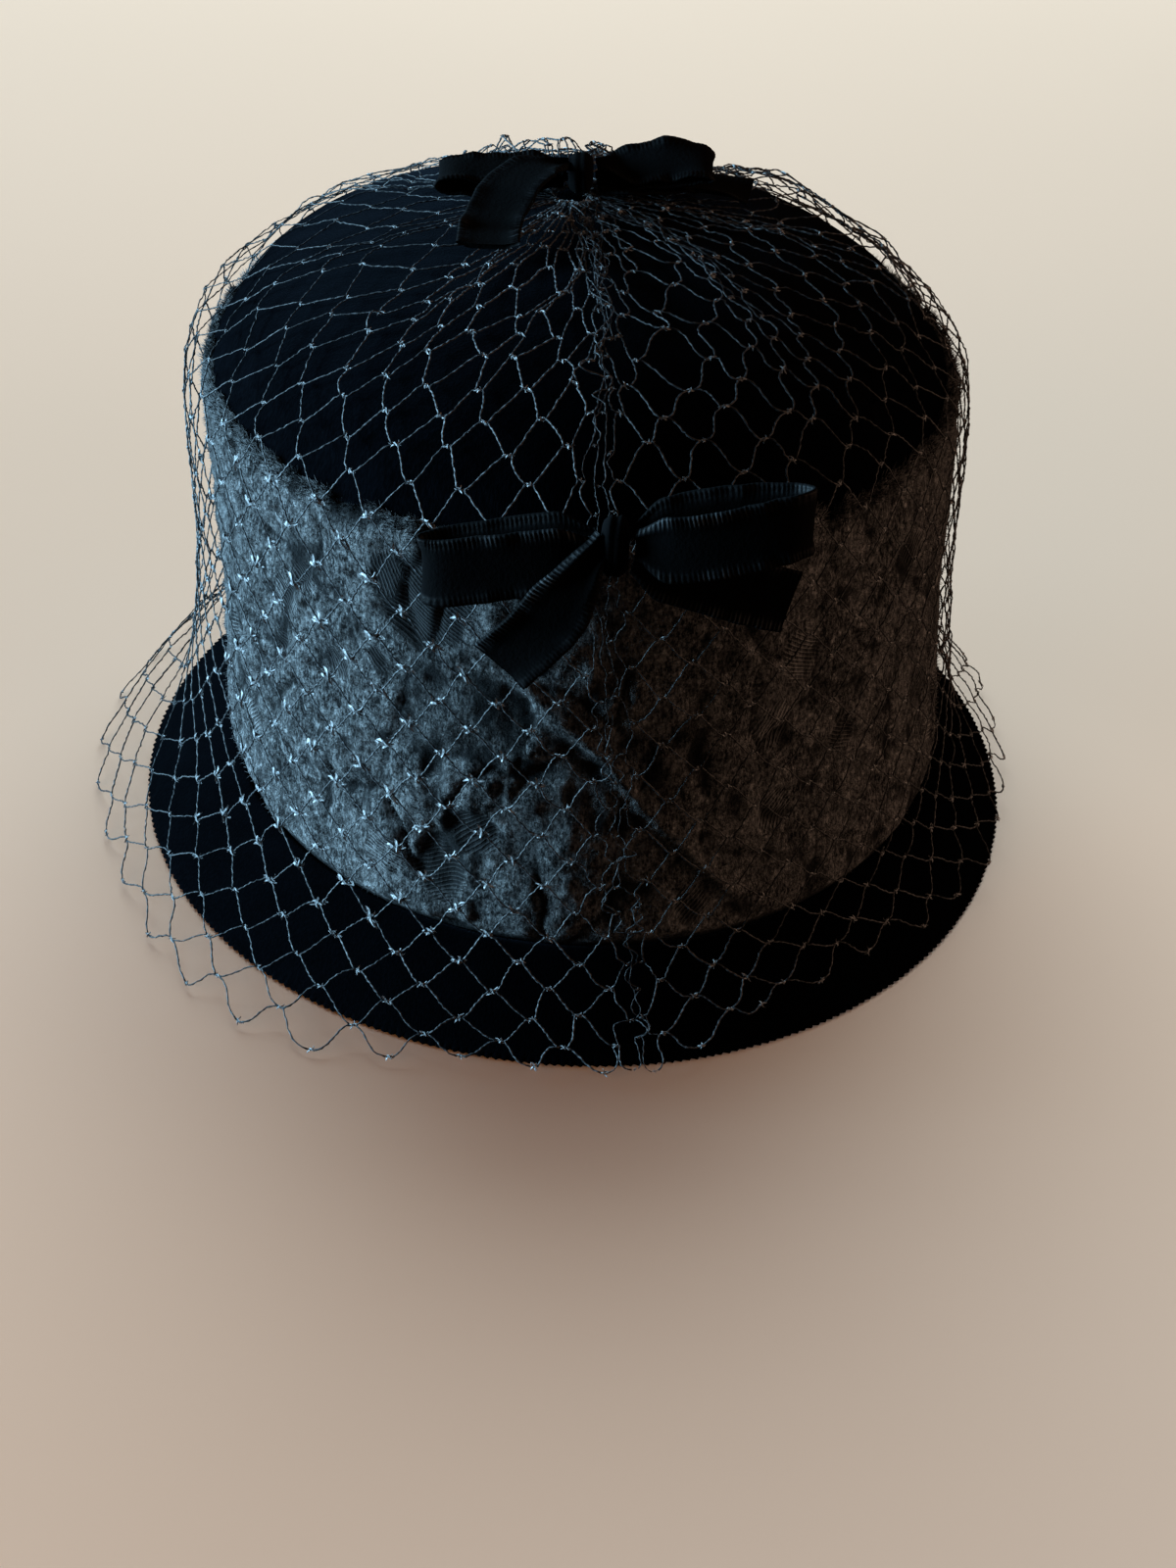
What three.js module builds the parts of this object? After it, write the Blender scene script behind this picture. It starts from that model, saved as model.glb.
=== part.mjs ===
// A black velvet cloche hat: a velvet tip, a plush side band, a turned-down velvet brim,
// a net veil over all of it, and a ribbon bow on the top and at the back.
// Millimetres, +Z up. The brim's edge lies on z = 0 and the back of the hat faces -Y.
// A turn is measured in degrees from the back, growing towards +X, the hat's right as seen from behind.

import * as THREE from 'three';
import { mergeVertices } from 'three/addons/utils/BufferGeometryUtils.js';

// ---------------------------------------------------------------- driving dimensions

const BASE_HALF_WIDTH = 88.5;   // the crown where it meets the brim, for a 57 cm head
const LENGTH_RATIO = 1.15;      // front to back over side to side, on every level
const BRIM_DROP = 18.5;         // from the crown's foot down to the brim's edge
const SIDE_TOP = 115;           // where the plush band ends and the velvet tip starts
const CROWN_LEAN = -0.045;      // sideways slip of the crown for each millimetre of height
const TIP_SET_BACK = -0.36;     // slip of the tip towards the back for each millimetre of its height
const TIP_LEAN = -0.06;         // further sideways slip of the tip for each millimetre of its height
const SEAM_GAP = 0.3;           // between pieces that are sewn face to face

const TIP_WALL = 2;
const SIDE_WALL = 3;
const BRIM_WALL = 2.6;
const BRIM_BULGE = 1.4;         // how far the brim swells over a straight cone
const BRIM_EDGE_FLAT = 3.2;     // width of the flat ring that the hat rests on
const BRIM_EDGE_ROUND = 0.8;    // bevel between that ring and the brim's upper face
const VEIL_WALL = 1;            // the net with its knots and stand-off fuzz
const VEIL_OVER_TIP = 1.2;      // air between the net and the velvet tip, at the net's inner face

const HAT_SEGMENTS = 48;
const VEIL_SEGMENTS = 56;       // four to a gather, eight to a wave of the hem
const TIP_STEPS = 9;
const SIDE_STEPS = 9;
const BRIM_STEPS = 5;
const VEIL_STEPS = 17;

// The plush band from its foot to its top, drawn in a little at the waist and rounded over at
// its top edge, which stands out past the velvet.
const SIDE_ROWS = [
  { height: BRIM_DROP + SEAM_GAP, halfWidth: BASE_HALF_WIDTH },
  { height: 34, halfWidth: 87.4 },
  { height: 56, halfWidth: 86.3 },
  { height: 86, halfWidth: 85.9 },
  { height: 110, halfWidth: 86.2 },
  { height: 113.6, halfWidth: 85.6 },
  { height: SIDE_TOP, halfWidth: 84.2 },
];

// The velvet tip: round shoulders and a nearly flat top.
const TIP_ROWS = [
  { height: SIDE_TOP + SEAM_GAP, halfWidth: 84.3 },
  { height: 120.5, halfWidth: 80.2 },
  { height: 127.2, halfWidth: 75.8 },
  { height: 134, halfWidth: 67.5 },
  { height: 140, halfWidth: 53.5 },
  { height: 144, halfWidth: 37.0 },
  { height: 146.4, halfWidth: 19.5 },
  { height: 147, halfWidth: 0 },
];

// How far the brim's edge stands out from the crown's foot.
const BRIM_ROWS = [
  { turn: 0, reach: 15.3 },
  { turn: 90, reach: 17.6 },
  { turn: 180, reach: 19.0 },
  { turn: 270, reach: 21.4 },
];

// The net's hang at each turn. shoulder and waist are gaps to the crown. The rest are places
// out from the crown's foot, as [out, height]: foot is beside the foot of the crown, at its own
// fixed height, mid is over the brim and hem is the net's lower edge.
const VEIL_ROWS = [
  { turn: 0, shoulder: 2.2, waist: 2.6, foot: 3.4, mid: [10, 12.0], hem: [19, 3.0] },
  { turn: 35, shoulder: 2.2, waist: 2.6, foot: 3.2, mid: [7, 15.4], hem: [13, 9.6] },
  { turn: 70, shoulder: 2.4, waist: 2.6, foot: 3.6, mid: [9, 14.8], hem: [17, 7.6] },
  { turn: 95, shoulder: 2.8, waist: 3.2, foot: 4.6, mid: [14, 12.0], hem: [22, 3.0] },
  { turn: 135, shoulder: 3.6, waist: 4.6, foot: 8.0, mid: [20, 13.0], hem: [28, 2.0] },
  { turn: 180, shoulder: 4.2, waist: 5.2, foot: 9.0, mid: [21, 13.0], hem: [30, 2.0] },
  { turn: 225, shoulder: 4.4, waist: 6.6, foot: 12.0, mid: [24, 14.0], hem: [33, 2.0] },
  { turn: 270, shoulder: 4.4, waist: 6.8, foot: 12.0, mid: [24, 14.0], hem: [33, 2.0] },
  { turn: 315, shoulder: 3.4, waist: 4.6, foot: 7.0, mid: [20, 13.0], hem: [33, 2.0] },
].map(({ mid, hem, ...row }) => ({
  ...row,
  midOut: mid[0],
  midHeight: mid[1],
  hemOut: hem[0],
  hemHeight: hem[1],
}));
const FOOT_HEIGHT = 26;
const WAIST_HEIGHT = 66;
const WAIST_HALF_WIDTH = 86.0;
const SHOULDER_HALF_WIDTH = 86.2;
const GATHERS = 14;             // radial pleats where the net is drawn together on top
const GATHER_DEPTH = 0.7;
const GATHER_REACH = 50;        // half-width at which the pleats have run out
const GATHER_CORE = 12;         // half-width inside which they run together
const HEM_WAVES = 7;            // slow waves of the loose hem
const HEM_WAVE_DEPTH = 1.2;
const HEM_CLEARANCE = 1;        // the hem stays this far over the surface the hat rests on

// Velvet ribbon of both bows.
const RIBBON_WIDTH = 13.5;
const RIBBON_THICKNESS = 1;
const PINCHED_SHARE = 0.42;     // of the width, where the knot gathers the ribbon
const PINCH_REACH = 11;         // along the bow, until the ribbon is at its full width
const LOOP_STEPS = 28;
const TAIL_STEPS = 10;
const KNOT = { width: 5.6, height: 13, depth: 7.6, bevel: 1.6, waist: 0.8 };

// Bow pieces in the bow's own axes: along the bow, up its face and out from what it is sewn to.
// A ribbon follows the middle of its width; loops go out on the inner layer and return on the outer.
const BACK_BOW = {
  loop_left: [
    { along: -3.5, up: 0, out: 1.6 },
    { along: -12, up: -1.6, out: 1.2 },
    { along: -24, up: -4.2, out: 0.4 },
    { along: -33.5, up: -6.2, out: 0.4 },
    { along: -36.6, up: -7, out: 2.4 },
    { along: -33.5, up: -7, out: 4.4 },
    { along: -24, up: -5.2, out: 5.2 },
    { along: -12, up: -2.9, out: 5.6 },
    { along: -3.5, up: -0.8, out: 4.6 },
  ],
  loop_right: [
    { along: 4, up: 1.2, out: 2.6 },
    { along: 12, up: 3.4, out: 2.2 },
    { along: 22, up: 5.8, out: 2 },
    { along: 33, up: 7, out: 2.4 },
    { along: 37.2, up: 7.6, out: 5 },
    { along: 33.5, up: 7, out: 8.2 },
    { along: 22, up: 3.7, out: 8.8 },
    { along: 12, up: 1.6, out: 8 },
    { along: 4, up: 1.2, out: 5.8 },
  ],
  tail_left: [
    { along: -7, up: -4.4, out: 6.9 },
    { along: -8.6, up: -9, out: 7.3 },
    { along: -13.6, up: -17, out: 6.2 },
    { along: -21.5, up: -26.4, out: 2.8 },
  ],
  tail_right: [
    { along: 4, up: -3.6, out: 0.9 },
    { along: 12, up: -6, out: 0.5 },
    { along: 20, up: -8.2, out: -0.4 },
    { along: 28, up: -10.4, out: -1.6 },
    { along: 35.2, up: -12.3, out: -3 },
  ],
};

const TOP_BOW = {
  loop_left: [
    { along: -3.5, up: 1.2, out: 1.5 },
    { along: -10, up: 2.6, out: 1.1 },
    { along: -20, up: 1, out: 0.7 },
    { along: -28, up: 0, out: 0.7 },
    { along: -31.2, up: -0.2, out: 2.2 },
    { along: -28, up: 0.2, out: 3.7 },
    { along: -20, up: 1.2, out: 4.1 },
    { along: -10, up: 2.6, out: 4 },
    { along: -3.5, up: 1.4, out: 3.6 },
  ],
  loop_right: [
    { along: 3.6, up: 1.4, out: 2.6 },
    { along: 14, up: 3.2, out: 3.4 },
    { along: 25, up: 4.3, out: 4.4 },
    { along: 28.8, up: 4.4, out: 6.2 },
    { along: 26.5, up: 4.3, out: 8.4 },
    { along: 20.5, up: 4.2, out: 9.8 },
    { along: 13, up: 3.2, out: 8.6 },
    { along: 8, up: 2.2, out: 6.8 },
    { along: 3.6, up: 1.4, out: 5 },
  ],
  tail_left: [
    { along: -6.6, up: -3.4, out: 6.4 },
    { along: -10.5, up: -6.6, out: 6.4 },
    { along: -14.6, up: -13.5, out: 5.2 },
    { along: -17, up: -21, out: 2.6 },
    { along: -18.4, up: -29, out: 1.3 },
    { along: -18.4, up: -38, out: 0.9 },
  ],
  tail_right: [
    { along: 4.2, up: -0.6, out: 1 },
    { along: 10, up: 2, out: 0.9 },
    { along: 16, up: 4.8, out: 0.8 },
    { along: 24, up: 8, out: 0.3 },
    { along: 33, up: 9, out: -0.8 },
    { along: 38.4, up: 8.2, out: -1.6 },
  ],
};

// ---------------------------------------------------------------- colours and finishes

const FINISH = {
  crown_tip: { color: 0x0b0d12, roughness: 0.95 },
  crown_side: { color: 0x22262b, roughness: 1.0 },
  brim: { color: 0x090b10, roughness: 0.95 },
  bow: { color: 0x07080b, roughness: 0.9 },
  veil: { color: 0x23282e, roughness: 0.7 },
};

const hat = new THREE.Group();

function addPiece(name, geometry, finish) {
  const material = new THREE.MeshStandardMaterial({ ...finish, metalness: 0 });
  const mesh = new THREE.Mesh(geometry, material);
  mesh.name = name;
  hat.add(mesh);
  return mesh;
}

// ---------------------------------------------------------------- shared shapes

// One column of a table read at any turn: it eases from each row to the next, all the way round.
function aroundHat(rows, column, turn) {
  const wrapped = ((turn % 360) + 360) % 360;
  const next = rows.findIndex((row) => row.turn > wrapped);
  const high = next === -1 ? { ...rows[0], turn: 360 } : rows[next];
  const low = next === -1 ? rows[rows.length - 1] : rows[next - 1];
  const share = (wrapped - low.turn) / (high.turn - low.turn);
  const eased = (1 - Math.cos(share * Math.PI)) / 2;
  return low[column] + (high[column] - low[column]) * eased;
}

// A smooth section line through points of (half-width, height).
function smoothSection(points, steps) {
  return new THREE.SplineCurve(points).getSpacedPoints(steps);
}

function rowsToPoints(rows) {
  return rows.map((row) => new THREE.Vector2(row.halfWidth, row.height));
}

// The section line moved sideways by a distance, to the left of its run.
function offsetSection(points, distance) {
  return points.map((point, i) => {
    const before = points[Math.max(i - 1, 0)];
    const after = points[Math.min(i + 1, points.length - 1)];
    const run = after.clone().sub(before).normalize();
    return new THREE.Vector2(point.x - run.y * distance, point.y + run.x * distance);
  });
}

// Rings of an oval: each section point goes round the hat at its own height, slipped sideways
// with the crown's lean. The section closes on itself, or starts and ends on the axis.
function ovalLoft(sectionAt, segments) {
  const positions = [];
  let count = 0;
  for (let s = 0; s < segments; s += 1) {
    const turn = (s / segments) * 360;
    const angle = THREE.MathUtils.degToRad(turn);
    const section = sectionAt(turn);
    count = section.length;
    for (const point of section) {
      const overTop = Math.max(point.y - SIDE_TOP, 0);
      const slip = CROWN_LEAN * Math.max(point.y - BRIM_DROP, 0) + TIP_LEAN * overTop;
      positions.push(point.x * Math.sin(angle) + slip);
      const setBack = TIP_SET_BACK * overTop;
      positions.push(-point.x * LENGTH_RATIO * Math.cos(angle) + setBack);
      positions.push(point.y);
    }
  }
  const index = [];
  for (let s = 0; s < segments; s += 1) {
    const here = s * count;
    const there = ((s + 1) % segments) * count;
    for (let k = 0; k < count; k += 1) {
      const k2 = (k + 1) % count;
      index.push(here + k, there + k, there + k2);
      index.push(here + k, there + k2, here + k2);
    }
  }
  return closedSolid(positions, index);
}

// A closed mesh from raw triangles: shared corners merged, collapsed triangles dropped, and
// every face turned outwards.
function closedSolid(positions, index) {
  const raw = new THREE.BufferGeometry();
  raw.setAttribute('position', new THREE.Float32BufferAttribute(positions, 3));
  raw.setIndex(index);
  const merged = mergeVertices(raw, 1e-3);
  const corners = merged.getIndex().array;
  const place = merged.getAttribute('position');
  const [a, b, c] = [new THREE.Vector3(), new THREE.Vector3(), new THREE.Vector3()];
  const kept = [];
  let volume = 0;
  for (let i = 0; i < corners.length; i += 3) {
    const [p, q, r] = [corners[i], corners[i + 1], corners[i + 2]];
    if (p === q || q === r || r === p) {
      continue;
    }
    kept.push(p, q, r);
    a.fromBufferAttribute(place, p);
    b.fromBufferAttribute(place, q);
    c.fromBufferAttribute(place, r);
    volume += a.dot(b.cross(c));
  }
  merged.setIndex(volume < 0 ? kept.reverse() : kept);
  merged.computeVertexNormals();
  return merged;
}

// ---------------------------------------------------------------- crown

function tipOuter() {
  return smoothSection(rowsToPoints(TIP_ROWS), TIP_STEPS);
}

function buildCrownTip() {
  const outer = tipOuter();
  const inner = offsetSection(outer, TIP_WALL);
  inner[0].y = outer[0].y;
  inner[inner.length - 1].x = 0;
  const section = [...outer, ...inner.reverse()];
  addPiece('crown_tip', ovalLoft(() => section, HAT_SEGMENTS), FINISH.crown_tip);
}

function buildCrownSide() {
  const outer = smoothSection(rowsToPoints(SIDE_ROWS), SIDE_STEPS);
  const inner = outer.map((point) => new THREE.Vector2(point.x - SIDE_WALL, point.y));
  const section = [...outer, ...inner.reverse()];
  addPiece('crown_side', ovalLoft(() => section, HAT_SEGMENTS), FINISH.crown_side);
}

// ---------------------------------------------------------------- brim

// The brim slants down and out, swelling a little, and ends on a flat ring at z = 0.
function brimSection(turn) {
  const reach = aroundHat(BRIM_ROWS, 'reach', turn);
  const outer = [];
  for (let k = 0; k < BRIM_STEPS; k += 1) {
    const share = k / BRIM_STEPS;
    const swell = BRIM_BULGE * 4 * share * (1 - share);
    outer.push(new THREE.Vector2(
      BASE_HALF_WIDTH + reach * share + swell * Math.SQRT1_2,
      BRIM_DROP * (1 - share) + swell * Math.SQRT1_2,
    ));
  }
  const edge = BASE_HALF_WIDTH + reach;
  outer.push(new THREE.Vector2(edge, BRIM_EDGE_ROUND));
  const inner = offsetSection(outer.slice(0, BRIM_STEPS), -BRIM_WALL);
  inner[0].set(BASE_HALF_WIDTH - SIDE_WALL, BRIM_DROP);
  const flat = [
    new THREE.Vector2(edge - BRIM_EDGE_ROUND, 0),
    new THREE.Vector2(edge - BRIM_EDGE_ROUND - BRIM_EDGE_FLAT, 0),
  ];
  return [...outer, ...flat, ...inner.reverse()];
}

function buildBrim() {
  addPiece('brim', ovalLoft(brimSection, HAT_SEGMENTS), FINISH.brim);
}

// ---------------------------------------------------------------- veil

// The net falls from its gather on the tip, clear of the shoulder and waist, and out over the
// brim to its hem. Pleats ripple it near the gather and slow waves move the hem.
function veilSection(turn) {
  const at = (column) => aroundHat(VEIL_ROWS, column, turn);
  const radians = THREE.MathUtils.degToRad(turn);
  const overTip = offsetSection(tipOuter(), -(VEIL_OVER_TIP + VEIL_WALL)).slice(2);
  overTip[overTip.length - 1].x = 0;
  const pleat = (1 + Math.cos(GATHERS * radians)) / 2;
  for (const point of overTip) {
    const share = Math.max(1 - point.x / GATHER_REACH, 0);
    const fade = Math.min(point.x / GATHER_CORE, 1);
    point.y += GATHER_DEPTH * pleat * share * fade;
  }
  const wave = HEM_WAVE_DEPTH * Math.sin(HEM_WAVES * radians);
  const fall = [
    new THREE.Vector2(SHOULDER_HALF_WIDTH + at('shoulder'), SIDE_TOP),
    new THREE.Vector2(WAIST_HALF_WIDTH + at('waist'), WAIST_HEIGHT),
    new THREE.Vector2(BASE_HALF_WIDTH + at('foot'), FOOT_HEIGHT),
    new THREE.Vector2(BASE_HALF_WIDTH + at('midOut'), at('midHeight')),
    new THREE.Vector2(BASE_HALF_WIDTH + at('hemOut') + wave, at('hemHeight')),
  ];
  const outer = smoothSection([...overTip.reverse(), ...fall], VEIL_STEPS);
  outer[0].x = 0;
  const inner = offsetSection(outer, -VEIL_WALL);
  inner[0].set(0, outer[0].y - VEIL_WALL);
  const innerHem = inner[inner.length - 1];
  innerHem.y = Math.max(innerHem.y, HEM_CLEARANCE);
  return [...outer, ...inner.reverse()];
}

function buildVeil() {
  addPiece('veil', ovalLoft(veilSection, VEIL_SEGMENTS), FINISH.veil);
}

// ---------------------------------------------------------------- bows

// The way a ribbon faces. A loop turns over, so it faces square to its run and to up; a tail
// keeps facing out.
function ribbonFace(run, isLoop) {
  if (isLoop) {
    const up = new THREE.Vector3(0, 1, 0);
    return up.clone().cross(run).negate().normalize();
  }
  const out = new THREE.Vector3(0, 0, 1);
  return out.addScaledVector(run, -out.dot(run)).normalize();
}

// A flat ribbon along a curve, its width square to the run, gathered where it meets the knot.
function ribbonGeometry(rows, isLoop) {
  const steps = isLoop ? LOOP_STEPS : TAIL_STEPS;
  const curve = new THREE.CatmullRomCurve3(
    rows.map((row) => new THREE.Vector3(row.along, row.up, row.out)),
  );
  const positions = [];
  for (let i = 0; i <= steps; i += 1) {
    const middle = curve.getPointAt(i / steps);
    const run = curve.getTangentAt(i / steps);
    const face = ribbonFace(run, isLoop);
    const across = new THREE.Vector3().crossVectors(face, run).normalize();
    const spread = THREE.MathUtils.smoothstep(Math.abs(middle.x), KNOT.width / 2, PINCH_REACH);
    const width = RIBBON_WIDTH * (PINCHED_SHARE + (1 - PINCHED_SHARE) * spread);
    for (const [w, t] of [[-1, -1], [1, -1], [1, 1], [-1, 1]]) {
      const corner = middle.clone();
      corner.addScaledVector(across, (w * width) / 2);
      corner.addScaledVector(face, (t * RIBBON_THICKNESS) / 2);
      positions.push(corner.x, corner.y, corner.z);
    }
  }
  const index = [];
  for (let i = 0; i < steps; i += 1) {
    for (let k = 0; k < 4; k += 1) {
      const here = i * 4 + k;
      const side = i * 4 + ((k + 1) % 4);
      index.push(here, here + 4, side + 4, here, side + 4, side);
    }
  }
  const last = steps * 4;
  index.push(0, 1, 2, 0, 2, 3, last, last + 2, last + 1, last, last + 3, last + 2);
  return closedSolid(positions, index);
}

// The knot: a soft-edged block wrapped round the ribbons' meeting place.
function knotGeometry() {
  const halfWidth = KNOT.width / 2;
  const halfHeight = KNOT.height / 2;
  const outline = new THREE.Shape();
  outline.moveTo(-halfWidth, -halfHeight + KNOT.bevel);
  outline.lineTo(-halfWidth * KNOT.waist, 0);
  outline.lineTo(-halfWidth, halfHeight - KNOT.bevel);
  outline.lineTo(-halfWidth + KNOT.bevel, halfHeight);
  outline.lineTo(halfWidth - KNOT.bevel, halfHeight);
  outline.lineTo(halfWidth, halfHeight - KNOT.bevel);
  outline.lineTo(halfWidth * KNOT.waist, 0);
  outline.lineTo(halfWidth, -halfHeight + KNOT.bevel);
  outline.lineTo(halfWidth - KNOT.bevel, -halfHeight);
  outline.lineTo(-halfWidth + KNOT.bevel, -halfHeight);
  outline.closePath();
  const block = new THREE.ExtrudeGeometry(outline, { depth: KNOT.depth, bevelEnabled: false });
  block.deleteAttribute('normal');
  block.deleteAttribute('uv');
  return mergeVertices(block, 1e-3);
}

// Places a bow: its up and out directions, and the spot under its knot.
function buildBow(prefix, pieces, spot, up, out) {
  const along = new THREE.Vector3().crossVectors(up, out);
  const place = new THREE.Matrix4().makeBasis(along, up, out).setPosition(spot);
  for (const [name, rows] of Object.entries(pieces)) {
    const ribbon = ribbonGeometry(rows, name.startsWith('loop'));
    addPiece(`${prefix}_${name}`, ribbon.applyMatrix4(place), FINISH.bow);
  }
  addPiece(`${prefix}_knot`, knotGeometry().applyMatrix4(place), FINISH.bow);
}

// The back bow lies against the net's outer face over the tip's seam, tilted back with it. The
// top bow lies on the net a little in front of the tip's highest point.
const BACK_SPOT = new THREE.Vector3(4.8, -100.9, 120.5);
const BACK_UP = new THREE.Vector3(0, 0.15, 1).normalize();
const BACK_OUT = new THREE.Vector3(0, -1, 0.15).normalize();
const TOP_SPOT = new THREE.Vector3(-6.3, 6.6, 149.6);
const TOP_UP = new THREE.Vector3(0, 1, 0);
const TOP_OUT = new THREE.Vector3(0, 0, 1);

buildCrownTip();
buildCrownSide();
buildBrim();
buildVeil();
buildBow('back_bow', BACK_BOW, BACK_SPOT, BACK_UP, BACK_OUT);
buildBow('top_bow', TOP_BOW, TOP_SPOT, TOP_UP, TOP_OUT);

// Stand the hat with the middle of its box over the origin.
const box = new THREE.Box3().setFromObject(hat);
hat.position.set(-(box.min.x + box.max.x) / 2, -(box.min.y + box.max.y) / 2, 0);

export default hat;
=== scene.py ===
"""A black velvet cloche: a velvet tip over a plush band, a turned-down velvet brim, a net veil
gathered on top and let fall over the brim, and two velvet ribbon bows.

Shapes are worked out in millimetres and put into the meshes in metres. The brim's edge lies on
z = 0 and the back of the hat faces -Y. A turn is measured in degrees from the back, growing
towards +X. Out is the way from the crown's axis and a level is a place along a section line.
"""

import math

import bpy
import numpy as np
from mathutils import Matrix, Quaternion, Vector


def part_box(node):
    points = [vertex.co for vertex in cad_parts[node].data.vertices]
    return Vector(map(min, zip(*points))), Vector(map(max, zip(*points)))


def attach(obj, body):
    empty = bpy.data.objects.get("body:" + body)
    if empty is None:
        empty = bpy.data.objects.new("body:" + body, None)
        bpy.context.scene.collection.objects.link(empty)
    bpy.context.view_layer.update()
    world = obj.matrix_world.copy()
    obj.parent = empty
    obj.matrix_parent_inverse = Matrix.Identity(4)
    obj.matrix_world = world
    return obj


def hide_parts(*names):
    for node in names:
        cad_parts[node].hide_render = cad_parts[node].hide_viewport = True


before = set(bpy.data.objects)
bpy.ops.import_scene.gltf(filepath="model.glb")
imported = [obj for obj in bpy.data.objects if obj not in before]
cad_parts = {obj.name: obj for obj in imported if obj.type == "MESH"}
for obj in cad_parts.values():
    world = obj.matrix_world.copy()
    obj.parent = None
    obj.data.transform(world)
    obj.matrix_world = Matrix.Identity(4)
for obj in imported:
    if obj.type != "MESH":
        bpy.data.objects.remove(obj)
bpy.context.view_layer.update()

# ---------------------------------------------------------------- driving sizes

MM = 0.001
LENGTH_RATIO = 1.15      # front to back over side to side
CROWN_LEAN = -0.045      # sideways slip of the crown for each millimetre of height
TIP_LEAN = -0.06         # further sideways slip of the tip for each millimetre of its height
TIP_SET_BACK = -0.36     # slip of the tip towards the back for each millimetre of its height
SIDE_WALL = 3.0
TIP_WALL = 2.0

side_low, side_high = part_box("crown_side")
tip_low, tip_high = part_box("crown_tip")
FOOT = side_low.z / MM
SIDE_TOP = side_high.z / MM
BRIM_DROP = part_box("brim")[1].z / MM
BASE_HALF_WIDTH = (side_high.y - side_low.y) / (2 * LENGTH_RATIO * MM)
AXIS_X = side_high.x / MM - BASE_HALF_WIDTH
AXIS_Y = (side_high.y + side_low.y) / (2 * MM)
TIP_TOP = tip_high.z / MM

SIDE_ROWS = {
    "height": (FOOT, 34.0, 56.0, 86.0, 110.0, 113.6, SIDE_TOP),
    "half_width": (BASE_HALF_WIDTH, 87.4, 86.3, 85.9, 86.2, 85.6, 84.2),
}
TIP_ROWS = {
    "height": (tip_low.z / MM, 120.5, 127.2, 134.0, 140.0, 144.0, 146.4, TIP_TOP),
    "half_width": (84.3, 80.2, 75.8, 67.5, 53.5, 37.0, 19.5, 0.0),
}
BRIM_ROWS = {"turn": (0, 90, 180, 270), "reach": (15.3, 17.6, 19.0, 21.4)}

# ---------------------------------------------------------------- camera

CAMERA_LENS = 54.0
CAMERA_PLACE = (AXIS_X + 1.8, AXIS_Y - 501.7, 343.2)
CAMERA_AIM = (AXIS_X + 1.8, AXIS_Y, -8.4)
CAMERA_ROLL = 2.74


def make_camera():
    """The camera looks down on the back of the hat, rolled a little about its line of sight."""
    data = bpy.data.cameras.new("camera")
    data.lens = CAMERA_LENS
    data.sensor_width = 36.0
    data.clip_start = 0.02
    data.clip_end = 20.0
    camera = bpy.data.objects.new("camera", data)
    place = Vector(CAMERA_PLACE) * MM
    sight = Vector(CAMERA_AIM) * MM - place
    camera.location = place
    camera.rotation_mode = "QUATERNION"
    roll = Quaternion((0, 0, 1), math.radians(CAMERA_ROLL))
    camera.rotation_quaternion = sight.to_track_quat("-Z", "Y") @ roll
    bpy.context.scene.collection.objects.link(camera)
    bpy.context.scene.camera = camera


make_camera()

# ---------------------------------------------------------------- reading tables and curves


def wrapped(turn):
    """A turn brought into -180 to 180."""
    return np.mod(turn + 180, 360) - 180


def eased_round(turn, rows, column):
    """A column of a table of turns, eased from row to row by half a cosine, all the way round."""
    turns = np.append(rows["turn"], 360.0)
    values = np.append(rows[column], rows[column][0])
    once_round = np.mod(turn, 360.0)
    row = np.clip(np.searchsorted(turns, once_round, side="right") - 1, 0, len(turns) - 2)
    share = (once_round - turns[row]) / (turns[row + 1] - turns[row])
    eased = (1 - np.cos(share * np.pi)) / 2
    return values[row] + (values[row + 1] - values[row]) * eased


PATH_FINENESS = 40       # steps worked out from one point of a path to the next
SECTION_POINTS = 160     # points of a finely worked section


def catmull(values, level):
    """A Catmull-Rom curve through values, whose last axis runs along it. Level 2.5 is half-way
    from the third value to the fourth."""
    last = values.shape[-1] - 1
    start = np.clip(np.floor(level).astype(int), 0, last - 1)
    t = level - start
    around = [np.clip(start + shift, 0, last)[..., None] for shift in (-1, 0, 1, 2)]
    a, b, c, d = [np.take_along_axis(values, k, -1)[..., 0] for k in around]
    into = (c - a) / 2
    out = (d - b) / 2
    cubic = (2 * b - 2 * c + into + out) * t**3
    return cubic + (-3 * b + 3 * c - 2 * into - out) * t**2 + into * t + b


def smooth_path(points, count):
    """count points equally far apart along the Catmull-Rom curve through a short list of points."""
    knots = np.asarray(points, float)
    level = np.linspace(0, len(knots) - 1, PATH_FINENESS * (len(knots) - 1) + 1)
    fine = np.stack([catmull(np.broadcast_to(axis, (len(level), len(knots))), level)
                     for axis in knots.T], -1)
    run = np.append(0, np.cumsum(np.linalg.norm(np.diff(fine, axis=0), axis=1)))
    spaced = np.linspace(0, run[-1], count)
    return np.stack([np.interp(spaced, run, axis) for axis in fine.T], -1)


def place(turn, out, height):
    """Points of the hat. A ring is an oval longer than it is wide; the crown slips sideways as
    it rises, and the tip slips further and back."""
    angle = np.radians(turn)
    above = np.maximum(height - SIDE_TOP, 0)
    slip = CROWN_LEAN * np.maximum(height - BRIM_DROP, 0) + TIP_LEAN * above
    x = AXIS_X + out * np.sin(angle) + slip
    y = AXIS_Y - out * LENGTH_RATIO * np.cos(angle) + TIP_SET_BACK * above
    return np.stack(np.broadcast_arrays(x, y, height), -1)


def unit(vectors):
    """Vectors divided by their lengths."""
    return vectors / np.maximum(np.linalg.norm(vectors, axis=-1, keepdims=True), 1e-9)


def rise(value, low, high):
    """0 below low, 1 above high and a smooth step between."""
    t = np.clip((value - low) / (high - low), 0, 1)
    return t * t * (3 - 2 * t)


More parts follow.
